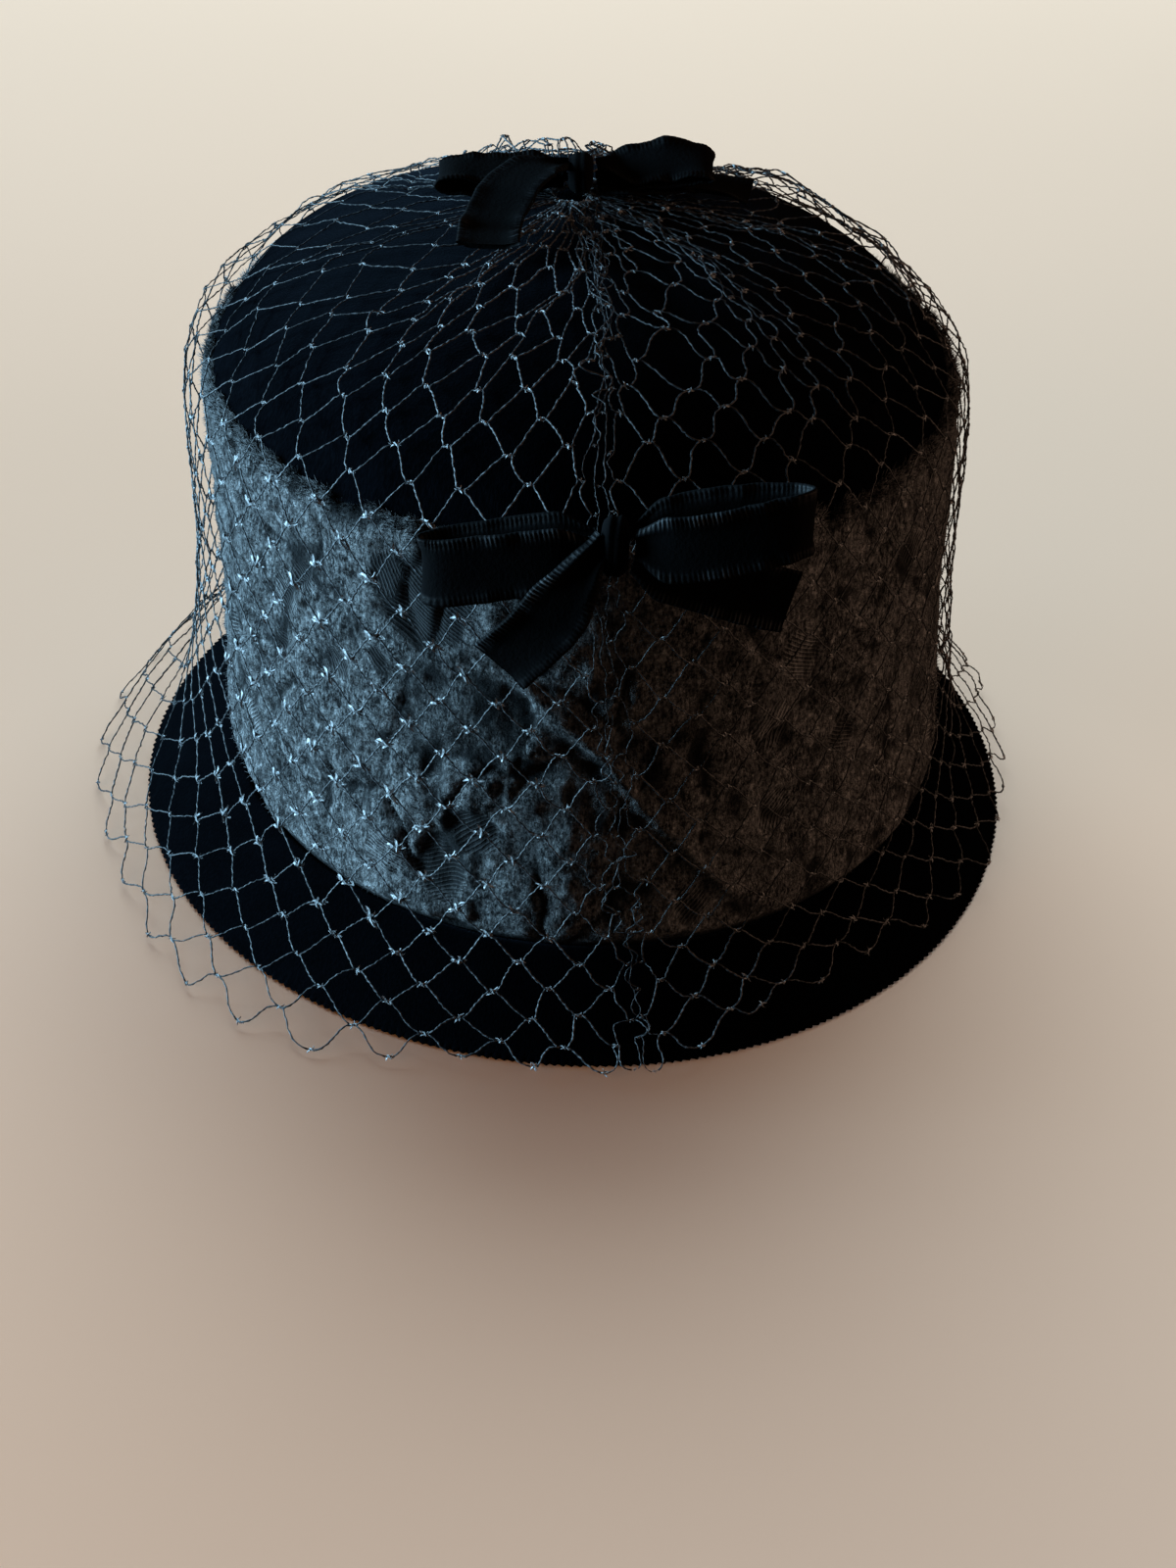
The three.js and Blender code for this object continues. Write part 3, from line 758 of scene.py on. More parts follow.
def build_brim(material):
    """A closed wall from the crown's foot out to the edge and back underneath. The upper face
    swells over a straight cone, and the edge runs in and out in a saw of small teeth."""
    columns = BRIM_TEETH * SAMPLES_PER_TOOTH
    turns = np.linspace(-180, 180, columns, endpoint=False)
    reach = eased_round(turns, BRIM_ROWS, "reach")[None, :]
    share = np.linspace(0, 1, BRIM_LEVELS)[:, None]
    swell = BRIM_BULGE * 4 * share * (1 - share) * math.sqrt(0.5)
    saw = (np.arange(columns) % SAMPLES_PER_TOOTH) / (SAMPLES_PER_TOOTH - 1) - 0.5
    rng = np.random.default_rng(8)
    depth = np.repeat(rng.uniform(0.7, 1.25, BRIM_TEETH), SAMPLES_PER_TOOTH)
    saw = (saw * depth * TOOTH_DEPTH)[None, :]
    tooth = saw * rise(share, 0.93, 1.0)
    out = BASE_HALF_WIDTH + reach * share + swell
    height = BRIM_DROP * (1 - share) + swell
    height = np.maximum(height, BRIM_EDGE_ROUND) + 0 * out
    pile = 0.22 * lumps(place(turns[None, :], out, height), 7.0, 51)
    upper = place(turns[None, :], out + tooth, height + pile * rise(share, 0, 0.1) * (1 - share))
    edge = BASE_HALF_WIDTH + reach
    flats = [(edge - 0.25 * BRIM_EDGE_ROUND + saw, BRIM_EDGE_CORNER),
             (edge - BRIM_EDGE_ROUND, 0.0), (edge - BRIM_EDGE_ROUND - BRIM_EDGE_FLAT, 0.0)]
    flat = np.stack([place(turns, a[0], np.full(columns, b)) for a, b in flats])
    back = np.linspace(1, 0, BRIM_UNDER_LEVELS)[:, None]
    inwards = 1.25 * BRIM_EDGE_ROUND
    under_out = reach - inwards - BRIM_EDGE_FLAT + SIDE_WALL
    under_out = BASE_HALF_WIDTH - SIDE_WALL + under_out * back
    under_height = (BRIM_DROP - BRIM_UNDER_DROP) * (1 - back) + BRIM_EDGE_CORNER * back
    under = place(turns[None, :], under_out, under_height + 0 * under_out)
    points = np.concatenate([upper, flat, under])
    faces = ring_faces(len(points), columns, True, True)
    piece = add_mesh("velvet_brim", points.reshape(-1, 3), [faces], material)
    wear(piece, "brim_velvet", "brim")


# ---------------------------------------------------------------- net veil

NET_COLUMNS = 46
NET_ROWS = 34
NET_BAR = 9.5            # thread from knot to knot
LAST_ROW = 0.6           # depth of the hem's half-cells, as a share of a row
KNOT_LOWEST = 1.2        # how low a knot may lie
NET_INSET = 0.5          # from the CAD veil's outer face to the threads
VEIL_OVER_TIP = 2.2      # from the tip to the CAD veil's outer face
NET_GATHER = 0.3         # level at which the net is drawn together under the top bow
GATHER_FORWARD = 17.0    # how far in front of the tip's pole that is
HEM_WAVES = 7
HEM_WAVE_DEPTH = 1.2
HEM_LOWEST = 1.7
SHOULDER_HALF_WIDTH = 86.2
WAIST_HALF_WIDTH = 86.0
WAIST_HEIGHT = 66.0
FALL_FOOT_HEIGHT = 26.0
SLOPE_STEP = 0.02        # how far to either side a slope of the fall is taken
VEIL_ROWS = {
    "turn": (0, 35, 70, 95, 135, 180, 225, 270, 315),
    "shoulder": (2.2, 2.2, 2.4, 2.8, 3.6, 4.2, 4.4, 4.4, 3.4),
    "waist": (2.6, 2.6, 2.6, 3.2, 4.6, 5.2, 6.6, 6.8, 4.6),
    "foot": (3.4, 3.2, 3.6, 4.6, 8.0, 9.0, 12.0, 12.0, 7.0),
    "mid_out": (10, 7, 9, 14, 20, 21, 24, 24, 20),
    "mid_height": (12.0, 15.4, 14.8, 12.0, 13.0, 13.0, 14.0, 14.0, 13.0),
    "hem_out": (19, 13, 17, 22, 28, 30, 33, 33, 33),
    "hem_height": (3.0, 9.6, 7.6, 3.0, 2.0, 2.0, 2.0, 2.0, 2.0),
}
OVER_TIP_HEIGHTS = (128.0, 135.2, 141.5, 145.6, 148.1)
OVER_TIP = tip_section(SECTION_POINTS, NET_INSET - VEIL_OVER_TIP)
OVER_TIP = OVER_TIP[np.searchsorted(OVER_TIP[:, 1], OVER_TIP_HEIGHTS)]
OVER_TIP = np.append(OVER_TIP, [(0.0, TIP_TOP + VEIL_OVER_TIP - NET_INSET)], 0)[::-1]
SHOULDER_LEVEL = float(len(OVER_TIP))    # then come the waist, the foot, the middle and the hem
HEM_LEVEL = SHOULDER_LEVEL + 4

# Where the net stands off its fall: puffs in front of the top bow and open cells on the right.
PUFFS = {
    "turn": (188, 160, 118, 96, 215, 250),
    "level": (1.3, 1.5, 3.0, 4.0, 1.6, 3.4),
    "turn_spread": (16, 12, 20, 14, 18, 20),
    "level_spread": (0.4, 0.4, 0.9, 0.8, 0.5, 0.8),
    "height": (7.5, 6.5, 6.2, 4.6, 5.0, 1.8),
}


def slid_forward(points, level):
    """Slides the net over the tip towards the front, most at the pole and not at all at the
    shoulder, and sets it back on the tip: its new height is the section's at its new reach."""
    share = 1 - rise(level, 0.0, SHOULDER_LEVEL - 0.6)
    moved = points + np.array((0.0, 1.0, 0.0)) * (GATHER_FORWARD * share)[..., None]
    pole = place(np.zeros(level.shape), np.zeros(level.shape), points[..., 2])
    reach = np.hypot(moved[..., 0] - pole[..., 0], (moved[..., 1] - pole[..., 1]) / LENGTH_RATIO)
    settled = np.interp(reach, OVER_TIP[:, 0], OVER_TIP[:, 1])
    moved[..., 2] += (settled - points[..., 2]) * rise(share, 0.0, 0.06)
    return moved


def net_fall(turn, level):
    """The surface the net hangs on. Its section runs from the pole over the tip, past the
    shoulder, waist and foot of the crown, and out over the brim to the hem."""
    turn, level = np.broadcast_arrays(np.asarray(turn, float), np.asarray(level, float))
    row = {key: eased_round(turn, VEIL_ROWS, key) for key in VEIL_ROWS if key != "turn"}
    wave = HEM_WAVE_DEPTH * np.sin(HEM_WAVES * np.radians(turn))
    one = np.ones_like(turn)
    out = [one * point[0] for point in OVER_TIP]
    out += [SHOULDER_HALF_WIDTH + row["shoulder"] - NET_INSET]
    out += [WAIST_HALF_WIDTH + row["waist"] - NET_INSET]
    out += [BASE_HALF_WIDTH + row["foot"] - NET_INSET, BASE_HALF_WIDTH + row["mid_out"]]
    out += [BASE_HALF_WIDTH + row["hem_out"] + wave]
    height = [one * point[1] for point in OVER_TIP]
    height += [one * SIDE_TOP, one * WAIST_HEIGHT, one * FALL_FOOT_HEIGHT]
    height += [row["mid_height"] - NET_INSET, np.maximum(row["hem_height"], HEM_LOWEST)]
    section_out = catmull(np.stack(out, -1), level)
    section_height = catmull(np.stack(height, -1), level)
    points = place(turn, section_out, section_height)
    return slid_forward(points, level)


def net_frame(turn, level):
    """A point of the fall, its slopes by turn and by level, and its outward direction."""
    step = SLOPE_STEP
    inside = np.clip(level, step, HEM_LEVEL - step)
    by_turn = (net_fall(turn + step, level) - net_fall(turn - step, level)) / (2 * step)
    by_level = (net_fall(turn, inside + step) - net_fall(turn, inside - step)) / (2 * step)
    return net_fall(turn, level), by_turn, by_level, unit(np.cross(by_level, by_turn))


SEAM_ROWS = {
    "level": (0, 0.3, 1, 2, 6, 7, 8, 9, 10),
    "aside": (0, 2, 5, 7.5, 6.5, 9, 12, 15, 17),       # millimetres right of the back
    "half_width": (2, 7, 20, 39, 88, 88, 92, 100, 108),
    "drawn": (5, 5, 6, 8, 9, 8, 7, 6, 6),              # turn of net swallowed by the seam
    "blur": (9, 9, 5, 2, 1.2, 1.2, 1.2, 1.6, 2),
    "lean": (0, 0, 0, 0, 0, 3, 6, 10, 12),             # of the columns at the left, lower down
}

# Where the bundled threads at the seam loosen into tangles, and how much.
TANGLES = {"level": (3.2, 7.0, 7.8, 9.3), "spread": (0.7, 0.14, 0.32, 0.4),
           "strength": (0.8, 0.6, 0.9, 0.25)}


def tangle(level):
    """How loose the seam's bundle is at a level: a little everywhere, more at the tangles."""
    loose = 0.3 + np.zeros_like(level)
    for middle, spread, strength in zip(*TANGLES.values()):
        loose = loose + strength * np.exp(-((level - middle) / spread) ** 2)
    return loose


def softened(value, blur):
    """0 below 0 and the value itself above it, blended over a blur by a log of exponentials."""
    return blur * np.logaddexp(0, value / blur)


def seam_row(level, column):
    """A column of the seam's table, read in straight lines between its levels."""
    return np.interp(level, SEAM_ROWS["level"], SEAM_ROWS[column])


def seam_turn(level):
    """The seam's turn: the angle whose sine is its distance aside over the half-width there."""
    aside = seam_row(level, "aside")
    return np.degrees(np.arcsin(np.clip(aside / seam_row(level, "half_width"), 0, 0.95)))


def beside_seam(turn, level):
    """How far a point lies on the left of the tip near the seam, where the columns are narrow."""
    near = rise(turn, -80, -40) * (1 - rise(turn, -3, 5))
    return near * (1 - rise(level, 2.5, 6.5))


def net_turn(share, level):
    """The turn of a column. share runs from -180 to 180 round the hat. Columns crowd at the back
    seam, stand wider beside it than at the front, but closer on the left of the tip, and lean
    at the lower left."""
    drawn = seam_row(level, "drawn")
    blur = seam_row(level, "blur")
    away = np.abs(share)
    pulled = away - drawn * (1 - away / 180)
    turn = softened(pulled, blur) - softened(-drawn, blur)
    turn = turn * 180 / (softened(180.0, blur) - softened(-drawn, blur))
    tip_left = (1 - rise(level, 2.5, 6.5)) * (share < 0)
    wider = 9 * (1 - tip_left) * np.sin(np.radians(turn))
    closer = 15 * tip_left * np.sin(np.radians(np.minimum(1.6 * turn, 180)))
    turn = np.sign(share) * (turn + wider - closer)
    left = np.maximum(np.sin(np.radians(-turn)), 0) ** 0.8
    lean = seam_row(level, "lean") * left
    return turn + lean + seam_turn(level) * (1 - np.abs(turn) / 180)


TURN_STEP = 5.0          # between the sections that the rows are worked out on


def row_levels(turn):
    """The level of every row at some turns. Down a section the rows are as far apart as bars of
    one length allow for the width of a column there, then shared out so that the last one is the
    hem."""
    level = np.linspace(NET_GATHER, HEM_LEVEL, 300)
    turns = np.arange(-180, 181, TURN_STEP)
    grid_turn, grid_level = np.meshgrid(turns, level, indexing="ij")
    run = np.linalg.norm(np.diff(net_fall(grid_turn, grid_level), axis=1), axis=2)
    half = 180 / NET_COLUMNS
    width = net_fall(grid_turn + half, grid_level) - net_fall(grid_turn - half, grid_level)
    width = np.linalg.norm(width, axis=2)
    width = (width[:, 1:] + width[:, :-1]) / 2
    width = width * (1 - 0.33 * beside_seam(grid_turn[:, 1:], grid_level[:, 1:]))
    pitch = np.sqrt(np.maximum(NET_BAR**2 - (width / 2) ** 2, (0.45 * NET_BAR) ** 2))
    passed = np.cumsum(run / pitch, axis=1)
    passed = np.concatenate([np.zeros((len(turns), 1)), passed], 1)
    rows = np.append(np.arange(NET_ROWS - 1), NET_ROWS - 2 + LAST_ROW)
    passed = passed / passed[:, -1:] * rows[-1]
    table = np.stack([np.interp(rows, line, level) for line in passed])
    spot = np.clip(np.mod(turn + 180, 360), 0, 359.999) / TURN_STEP
    low = np.floor(spot).astype(int)
    row = np.broadcast_to(np.arange(NET_ROWS), turn.shape)
    return table[low, row] + (table[low + 1, row] - table[low, row]) * (spot - low)


def net_bars():
    """Pairs of knots joined by a thread. Every second row stands half a column aside, and each
    knot hangs on the two knots above it."""
    column = np.arange(NET_COLUMNS)[:, None]
    row = np.arange(NET_ROWS - 1)[None, :]
    upper = column * NET_ROWS + row
    odd = row % 2
    left = ((column - 1 + odd) % NET_COLUMNS) * NET_ROWS + row + 1
    right = ((column + odd) % NET_COLUMNS) * NET_ROWS + row + 1
    return np.stack([upper, left], -1).reshape(-1, 2), np.stack([upper, right], -1).reshape(-1, 2)


ROW_ROUNDS = 3           # rounds in which the rows and the turns of the columns settle
PLEATS = 9               # folds of the net round the top bow
PLEAT_TURN = 5.5         # by how many degrees of turn they draw it together
RELAX_STEPS = 120
STRETCH_RATE = 0.5
SMOOTH_RATE = 0.1
SLACK_RATE = 0.5         # how far a bar that is too short counts beside one that is too long


def relax_net(turn, level, bars, lengths, held):
    """Lets the knots slide on the fall until the bars have their lengths. Each step moves a knot
    by a share of the misfit of its bars and a little towards the middle of its neighbours, along
    the surface. held is how firmly a knot stays put."""
    a, b = bars.T
    joined = np.bincount(bars.ravel(), minlength=turn.size)
    for _ in range(RELAX_STEPS):
        points, by_turn, by_level, _ = net_frame(turn, level)
        gap = points[b] - points[a]
        span = np.linalg.norm(gap, axis=1)
        misfit = (span - lengths) / span
        misfit = np.where(misfit < 0, misfit * SLACK_RATE, misfit)
        pull = gap * misfit[:, None] / 2
        move = np.empty_like(points)
        for axis in range(3):
            fit, mean = [np.bincount(a, way[:, axis], turn.size)
                         - np.bincount(b, way[:, axis], turn.size) for way in (pull, gap)]
            move[:, axis] = STRETCH_RATE * fit + SMOOTH_RATE * np.where(joined == 4, mean / 4, 0)
        move = move * (1 - held)[:, None]
        tt = (by_turn * by_turn).sum(1)
        ll = (by_level * by_level).sum(1)
        tl = (by_turn * by_level).sum(1)
        mt = (move * by_turn).sum(1)
        ml = (move * by_level).sum(1)
        size = tt * ll - tl * tl + 1e-9
        turn = turn + (mt * ll - ml * tl) / size
        level = np.clip(level + (ml * tt - mt * tl) / size, 0.2, HEM_LEVEL)
    return turn, level


def left_of_tip(turn, level):
    """How far a point lies on the left of the tip, where the threads are fine and painted dark."""
    return rise(turn, -150, -125) * (1 - rise(turn, -60, -35)) * (1 - rise(level, 5.0, 6.2))


def net_painted_shade(turn, level, bundle):
    """Painted shading of the threads: how light they are painted, 1, less a share of the light in
    each of seven places.
    """
    outline = rise(-turn, 70, 84) * (1 - rise(-turn, 120, 150)) * rise(level, 4.0, 5.5)
    brim_left = rise(-turn, 25, 45) * (1 - rise(-turn, 90, 110)) * rise(level, 7.6, 8.4)
    seam_right = rise(turn, -2, 9) * (1 - rise(turn, 70, 95)) * (1 - rise(level, 8.2, 8.8))
    seam_foot = bundle * rise(level, 7.4, 8.2)
    band_left = rise(-turn, 38, 58) * rise(level, 5.6, 6.4) * (1 - rise(level, 7.9, 8.5))
    hem_left = rise(level, 8.8, 9.6) * rise(-turn, -5, 15) * (1 - rise(-turn, 120, 150))
    painted_shade = 1
    for loss, where in ((0.78, outline), (0.52, left_of_tip(turn, level)), (0.5, brim_left),
                        (0.5, seam_right), (0.6, seam_foot), (0.35, band_left), (0.5, hem_left)):
        painted_shade = painted_shade * (1 - loss * where)
    return painted_shade


def slid_net(rng):
    """The knots' turns and levels, slid to where their bars fit. The bars are a little uneven,
    most at the gather, and shorter in the seam. The gather and the hem are held, and the seam
    and the columns beside it nearly so."""
    row = np.broadcast_to(np.arange(NET_ROWS), (NET_COLUMNS, NET_ROWS))
    column = np.arange(NET_COLUMNS)[:, None] + 0.5 * (row % 2)
    share = wrapped(column / NET_COLUMNS * 360)
    level = np.full(share.shape, SHOULDER_LEVEL)
    for _ in range(ROW_ROUNDS):
        level = row_levels(net_turn(share, level))
    turn = net_turn(share, level)
    bars = np.concatenate(net_bars())
    off_seam = turn - seam_turn(level)
    held = 0.9 * np.exp(-(off_seam / 2.5) ** 2)
    held = np.maximum(held, 0.7 * beside_seam(turn, level))
    held[:, [0, -1]] = 1
    drawn = np.exp(-(off_seam / 3) ** 2).ravel()
    lengths = NET_BAR * (1 - 0.25 * np.minimum(drawn[bars[:, 0]], drawn[bars[:, 1]]))
    gathered = rise(-level, -SHOULDER_LEVEL, -3.5).ravel()[bars[:, 0]]
    lengths = lengths * (1 + (0.03 + 0.11 * gathered) * rng.normal(0, 1, len(lengths)))
    return relax_net(turn.ravel(), level.ravel(), bars, lengths, held.ravel())


def net_nature(turn, level):
    """What the net is like at each knot. seam is how loose the seam's bundle is, thick how thick
    the threads are (thin in the bundle), knot how big the knots are (most on the left of the
    band), and the last number is painted shading, how light the threads are painted."""
    bundle = np.exp(-((turn - seam_turn(level)) / 2.6) ** 2)
    thick = 1 - 0.62 * bundle * np.clip(1.2 - tangle(level), 0.25, 1)
    thick = thick * (1 - 0.22 * left_of_tip(turn, level))
    big = rise(level, 5.4, 6.2) * (1 - rise(level, 8.2, 9.0))
    big = big * (rise(turn, -85, -50) * (1 - rise(turn, -25, 8)))
    return {"seam": bundle * tangle(level), "thick": thick, "knot": thick * (0.8 + 0.75 * big),
            "painted_shade": net_painted_shade(turn, level, bundle)}


def net_knots():
    """The knots' places, the sideways and outward directions at them, and the net's nature there,
    with rounded for how round the cells are: on the right of the tip and at the hem. The slid net
    is folded into pleats round the top bow, shaken loose and lifted into its puffs."""
    rng = np.random.default_rng(17)
    turn, level = slid_net(rng)
    nature = net_nature(turn, level)
    from_seam = np.radians(PLEATS * (turn - seam_turn(level)))
    turn = turn - PLEAT_TURN * (1 - rise(level, 1.5, 4.6)) * np.sin(from_seam)
    points, by_turn, by_level, out = net_frame(turn, level)
    dome = rise(-level, -SHOULDER_LEVEL - 0.3, -4.0)
    rounded = dome * rise(np.sin(np.radians(turn - 8)), -0.1, 0.35)
    hem = rise(level, 8.6, 9.5)
    rounded = np.maximum(rounded, 0.5 * hem + 0.5 * rise(level, HEM_LEVEL - 0.2, HEM_LEVEL))
    seam = nature["seam"]
    loose = 0.3 + 1.0 * dome + 1.2 * seam * rise(level, 0.5, 2.0) + 1.1 * hem
    aside = rng.normal(0, 1, (len(points), 2)) * loose[:, None] * 0.5
    points = points + unit(by_turn) * aside[:, :1] * (1 + 0.5 * seam)[:, None]
    points = points + unit(by_level) * aside[:, 1:]
    lift = np.abs(rng.normal(0, 0.3, len(points))) * (loose - hem)
    for turn_0, level_0, turn_spread, level_spread, height in zip(*PUFFS.values()):
        off_turn = wrapped(turn - turn_0) / turn_spread
        off_level = (level - level_0) / level_spread
        lift = lift + height * np.exp(-off_turn**2 - off_level**2)
    points = points + out * (lift * rng.uniform(0.8, 1.2, len(points)))[:, None]
    points[:, 2] = np.maximum(points[:, 2], KNOT_LOWEST)
    return points, unit(by_turn), out, {**nature, "rounded": rounded}


BAR_STEPS = 13
BAR_SIDES = 4
BAR_TWIST = 0.4
THREAD_RADIUS = 0.2
PLY_SWELL = 0.14         # how much thicker and thinner the plies make a thread by turns
LINK_HALF = 0.75         # half the width of a knot, along its row
THREAD_LOWEST = 0.6      # how low a thread's middle may lie


def bar_paths(points, aside, out, nature, pairs, way, rng):
    """Threads between knots: a cubic from one knot's side to the other's. It is nearly straight,
    but leaves its knots along the row where the cells are round, and bows by the thread to spare,
    which curls it at the seam. way is -1 for threads that run down to the left and 1 for the
    others."""
    a, b = pairs.T
    start = points[a] + aside[a] * LINK_HALF * way
    stop = points[b] - aside[b] * LINK_HALF * way
    chord = stop - start
    span = np.linalg.norm(chord, axis=1, keepdims=True)
    spare = np.sqrt(np.maximum((NET_BAR - 1.0) ** 2 - span**2, 0))
    crowd = np.maximum(nature["seam"][a], nature["seam"][b])[:, None]
    round_a = nature["rounded"][a][:, None]
    round_b = nature["rounded"][b][:, None]
    bow = (0.06 + (0.09 + 0.2 * crowd) * rng.normal(0, 1, span.shape)) * spare
    bow = bow + 0.3 * (round_a + round_b) * rng.normal(0, 1, span.shape)
    curl = 0.2 * crowd * rng.normal(0, 1, span.shape) * spare
    across = unit(np.cross(chord, out[a]))
    along_row = 0.08 + 0.10 * rng.normal(0, 1, span.shape)
    leave = chord * (1 - 0.4 * round_a) + aside[a] * span * (along_row + 0.8 * round_a) * way
    arrive = chord * (1 - 0.4 * round_b) + aside[b] * span * (along_row + 0.8 * round_b) * way
    t = np.linspace(0, 1, BAR_STEPS)[None, :, None]
    h0 = 2 * t**3 - 3 * t**2 + 1
    h1 = t**3 - 2 * t**2 + t
    h2 = -2 * t**3 + 3 * t**2
    h3 = t**3 - t**2
    path = h0 * start[:, None] + h1 * leave[:, None] + h2 * stop[:, None] + h3 * arrive[:, None]
    hump = 4 * t * (1 - t)
    wiggle = hump * np.sin(2 * np.pi * t)
    lift = np.abs(rng.normal(0, 0.10 + 0.12 * crowd, span.shape)) * spare
    path = path + (hump * bow[:, None] + wiggle * curl[:, None]) * across[:, None]
    path = path + hump * (out[a] * lift)[:, None]
    waver = rng.normal(0, 0.07, (*path.shape[:2], 2)) * np.minimum(hump * 3, 1)
    path = path + waver[..., :1] * across[:, None] + waver[..., 1:] * out[a][:, None]
    path[..., 2] = np.maximum(path[..., 2], THREAD_LOWEST)
    return path


def build_veil(thread, knot):
    """The net as two families of threads, one running down to the left and one to the right,
    and the knots that tie them."""
    points, aside, out, nature = net_knots()
    rng = np.random.default_rng(23)
    left, right = net_bars()
    along = np.linspace(0, 1, BAR_STEPS)
    for name, pairs, way in (("net_threads_left", left, -1.0), ("net_threads_right", right, 1.0)):
        path = bar_paths(points, aside, out, nature, pairs, way, rng)
        count = len(path)
        size = THREAD_RADIUS * (1 + PLY_SWELL * np.cos(np.pi * np.arange(BAR_STEPS)))[None, :]
        size = size * rng.uniform(0.85, 1.15, (count, 1))
        size = size * nature["thick"][pairs[:, :1]]
        sideways = np.broadcast_to(out[pairs[:, 0]][:, None], path.shape)
        ply = np.broadcast_to(np.pi * np.arange(BAR_STEPS), (count, BAR_STEPS))
        # Painted shading, blended from one knot to the next along each thread.
        painted_shade = nature["painted_shade"][pairs]
        painted_shade = painted_shade[:, :1] * (1 - along) + painted_shade[:, 1:] * along
        piece = tube_mesh(name, path, sideways, size, BAR_SIDES, BAR_TWIST, thread, True,
                          {"ply": ply.ravel(), "painted_shade": painted_shade.ravel()})
        wear(piece, "veil_net", *(["veil"] if way < 0 else []))
    build_knots(points, aside, out, nature, knot, rng)


# Each strand of a knot: its turn from the row, its phase and its share of the length.
KNOT_STRANDS = ((0.0, 0.0, 1.0), (0.0, np.pi, 1.0), (1.15, 0.5, 0.8))
KNOT_STEPS = 6
KNOT_SIDES = 3
KNOT_TWIST = 0.5
KNOT_RADIUS = 0.225      # of a strand
KNOT_WIND = 0.33         # radius at which the strands wind about each other


def build_knots(points, aside, out, nature, material, rng):
    """Knots: two short strands wound about each other along the row and one lying across them,
    all thickest in the middle."""
    count = len(points)
    big = nature["knot"]
    t = np.linspace(-1, 1, KNOT_STEPS)
    skew = rng.normal(0, 0.35, (count, 1))
    paths = []
    for turned, phase, reach in KNOT_STRANDS:
        angle = skew + turned * rng.choice((-1, 1), (count, 1))
        row = unit(aside * np.cos(angle) + np.cross(out, aside) * np.sin(angle))
        up = np.cross(out, row)
        wind = t[None, :] * 2.3 + phase + rng.uniform(0, np.pi, (count, 1))
        radius = KNOT_WIND * np.sqrt(1 - 0.75 * t**2) * big[:, None]
        length = rng.uniform(1.1, 2.5, (count, 1)) * LINK_HALF * reach * big[:, None]
        path = points[:, None] + row[:, None] * (t[None, :] * length)[..., None]
        path = path + up[:, None] * (radius * np.cos(wind))[..., None]
        paths.append(path + out[:, None] * (radius * np.sin(wind))[..., None])
    path = np.concatenate(paths)
    path[..., 2] = np.maximum(path[..., 2], THREAD_LOWEST)
    sideways = np.concatenate([out] * len(KNOT_STRANDS))[:, None] + 0 * path
    size = KNOT_RADIUS * np.sqrt(1 - 0.8 * t**2) * np.tile(big, len(KNOT_STRANDS))[:, None]
    ply = np.broadcast_to(np.arange(KNOT_STEPS) * 2.0, path.shape[:2])
    # Painted shading on the knots, a little weaker than on the threads.
    painted_shade = np.tile(nature["painted_shade"] ** 0.75, len(KNOT_STRANDS))[:, None] + 0 * size
    piece = tube_mesh("net_knots", path, sideways, size, KNOT_SIDES, KNOT_TWIST, material, False,
                      {"ply": ply.ravel(), "painted_shade": painted_shade.ravel()})
    wear(piece, "veil_net")


# ---------------------------------------------------------------- bows

RIBBON_WIDTH = 13.5
RIBBON_PILE = 1.15       # thickness of the velvet between the selvedges
RIBBON_EDGE = 0.75       # thickness of the ribbed selvedge
SELVEDGE = 2.7           # width of a selvedge band
PINCHED_SHARE = 0.42     # of its width that the ribbon keeps at the knot
PINCH_REACH = 11.0       # how far from the bow's middle it has its full width
PLEAT_DEPTH = 0.55       # of the pleats at the knot
RUFFLE_STEP = 2.6        # from one turn of the selvedge's ruffle to the next
RIB_STEP = 0.93          # from rib to rib along the ribbon
RIB_DEPTH = 0.2
SAMPLES_PER_RIB = 4
KNOT_SIZE = (5.6, 13.0, 7.6)
KNOT_RINGS = 15
KNOT_COLUMNS = 40
KNOT_ENDS_POWER = 3.2    # a larger power makes the ends squarer
KNOT_OVAL_POWER = 2.8    # a larger power makes the section squarer

# Each point is a place along the bow, up its face and out from the hat.
BACK_BOW = {
    "loop_left": ((-3.5, 0, 1.6), (-12, -1.6, 1.2), (-24, -4.2, 0.4), (-33.5, -6.2, 0.4),
                  (-36.6, -7, 2.4), (-33.5, -7, 4.4), (-24, -5.2, 5.2), (-12, -2.9, 5.6),
                  (-3.5, -0.8, 4.6)),
    "loop_right": ((4, 1.2, 2.6), (12, 3.4, 2.2), (22, 5.8, 2), (33, 7, 2.4), (37.2, 7.6, 5),
                   (33.5, 7, 8.2), (22, 3.7, 8.8), (12, 1.6, 8), (4, 1.2, 5.8)),
    "tail_left": ((-1.6, 1.8, 5.6), (-5.0, -2.4, 7.0), (-8.6, -9, 7.3), (-13.6, -17, 6.2),
                  (-21.5, -26.4, 2.8)),
    "tail_right": ((4, -3.6, 0.9), (12, -6, 0.5), (20, -8.2, -0.4), (28, -10.4, -1.6),
                   (35.2, -12.3, -3)),
}
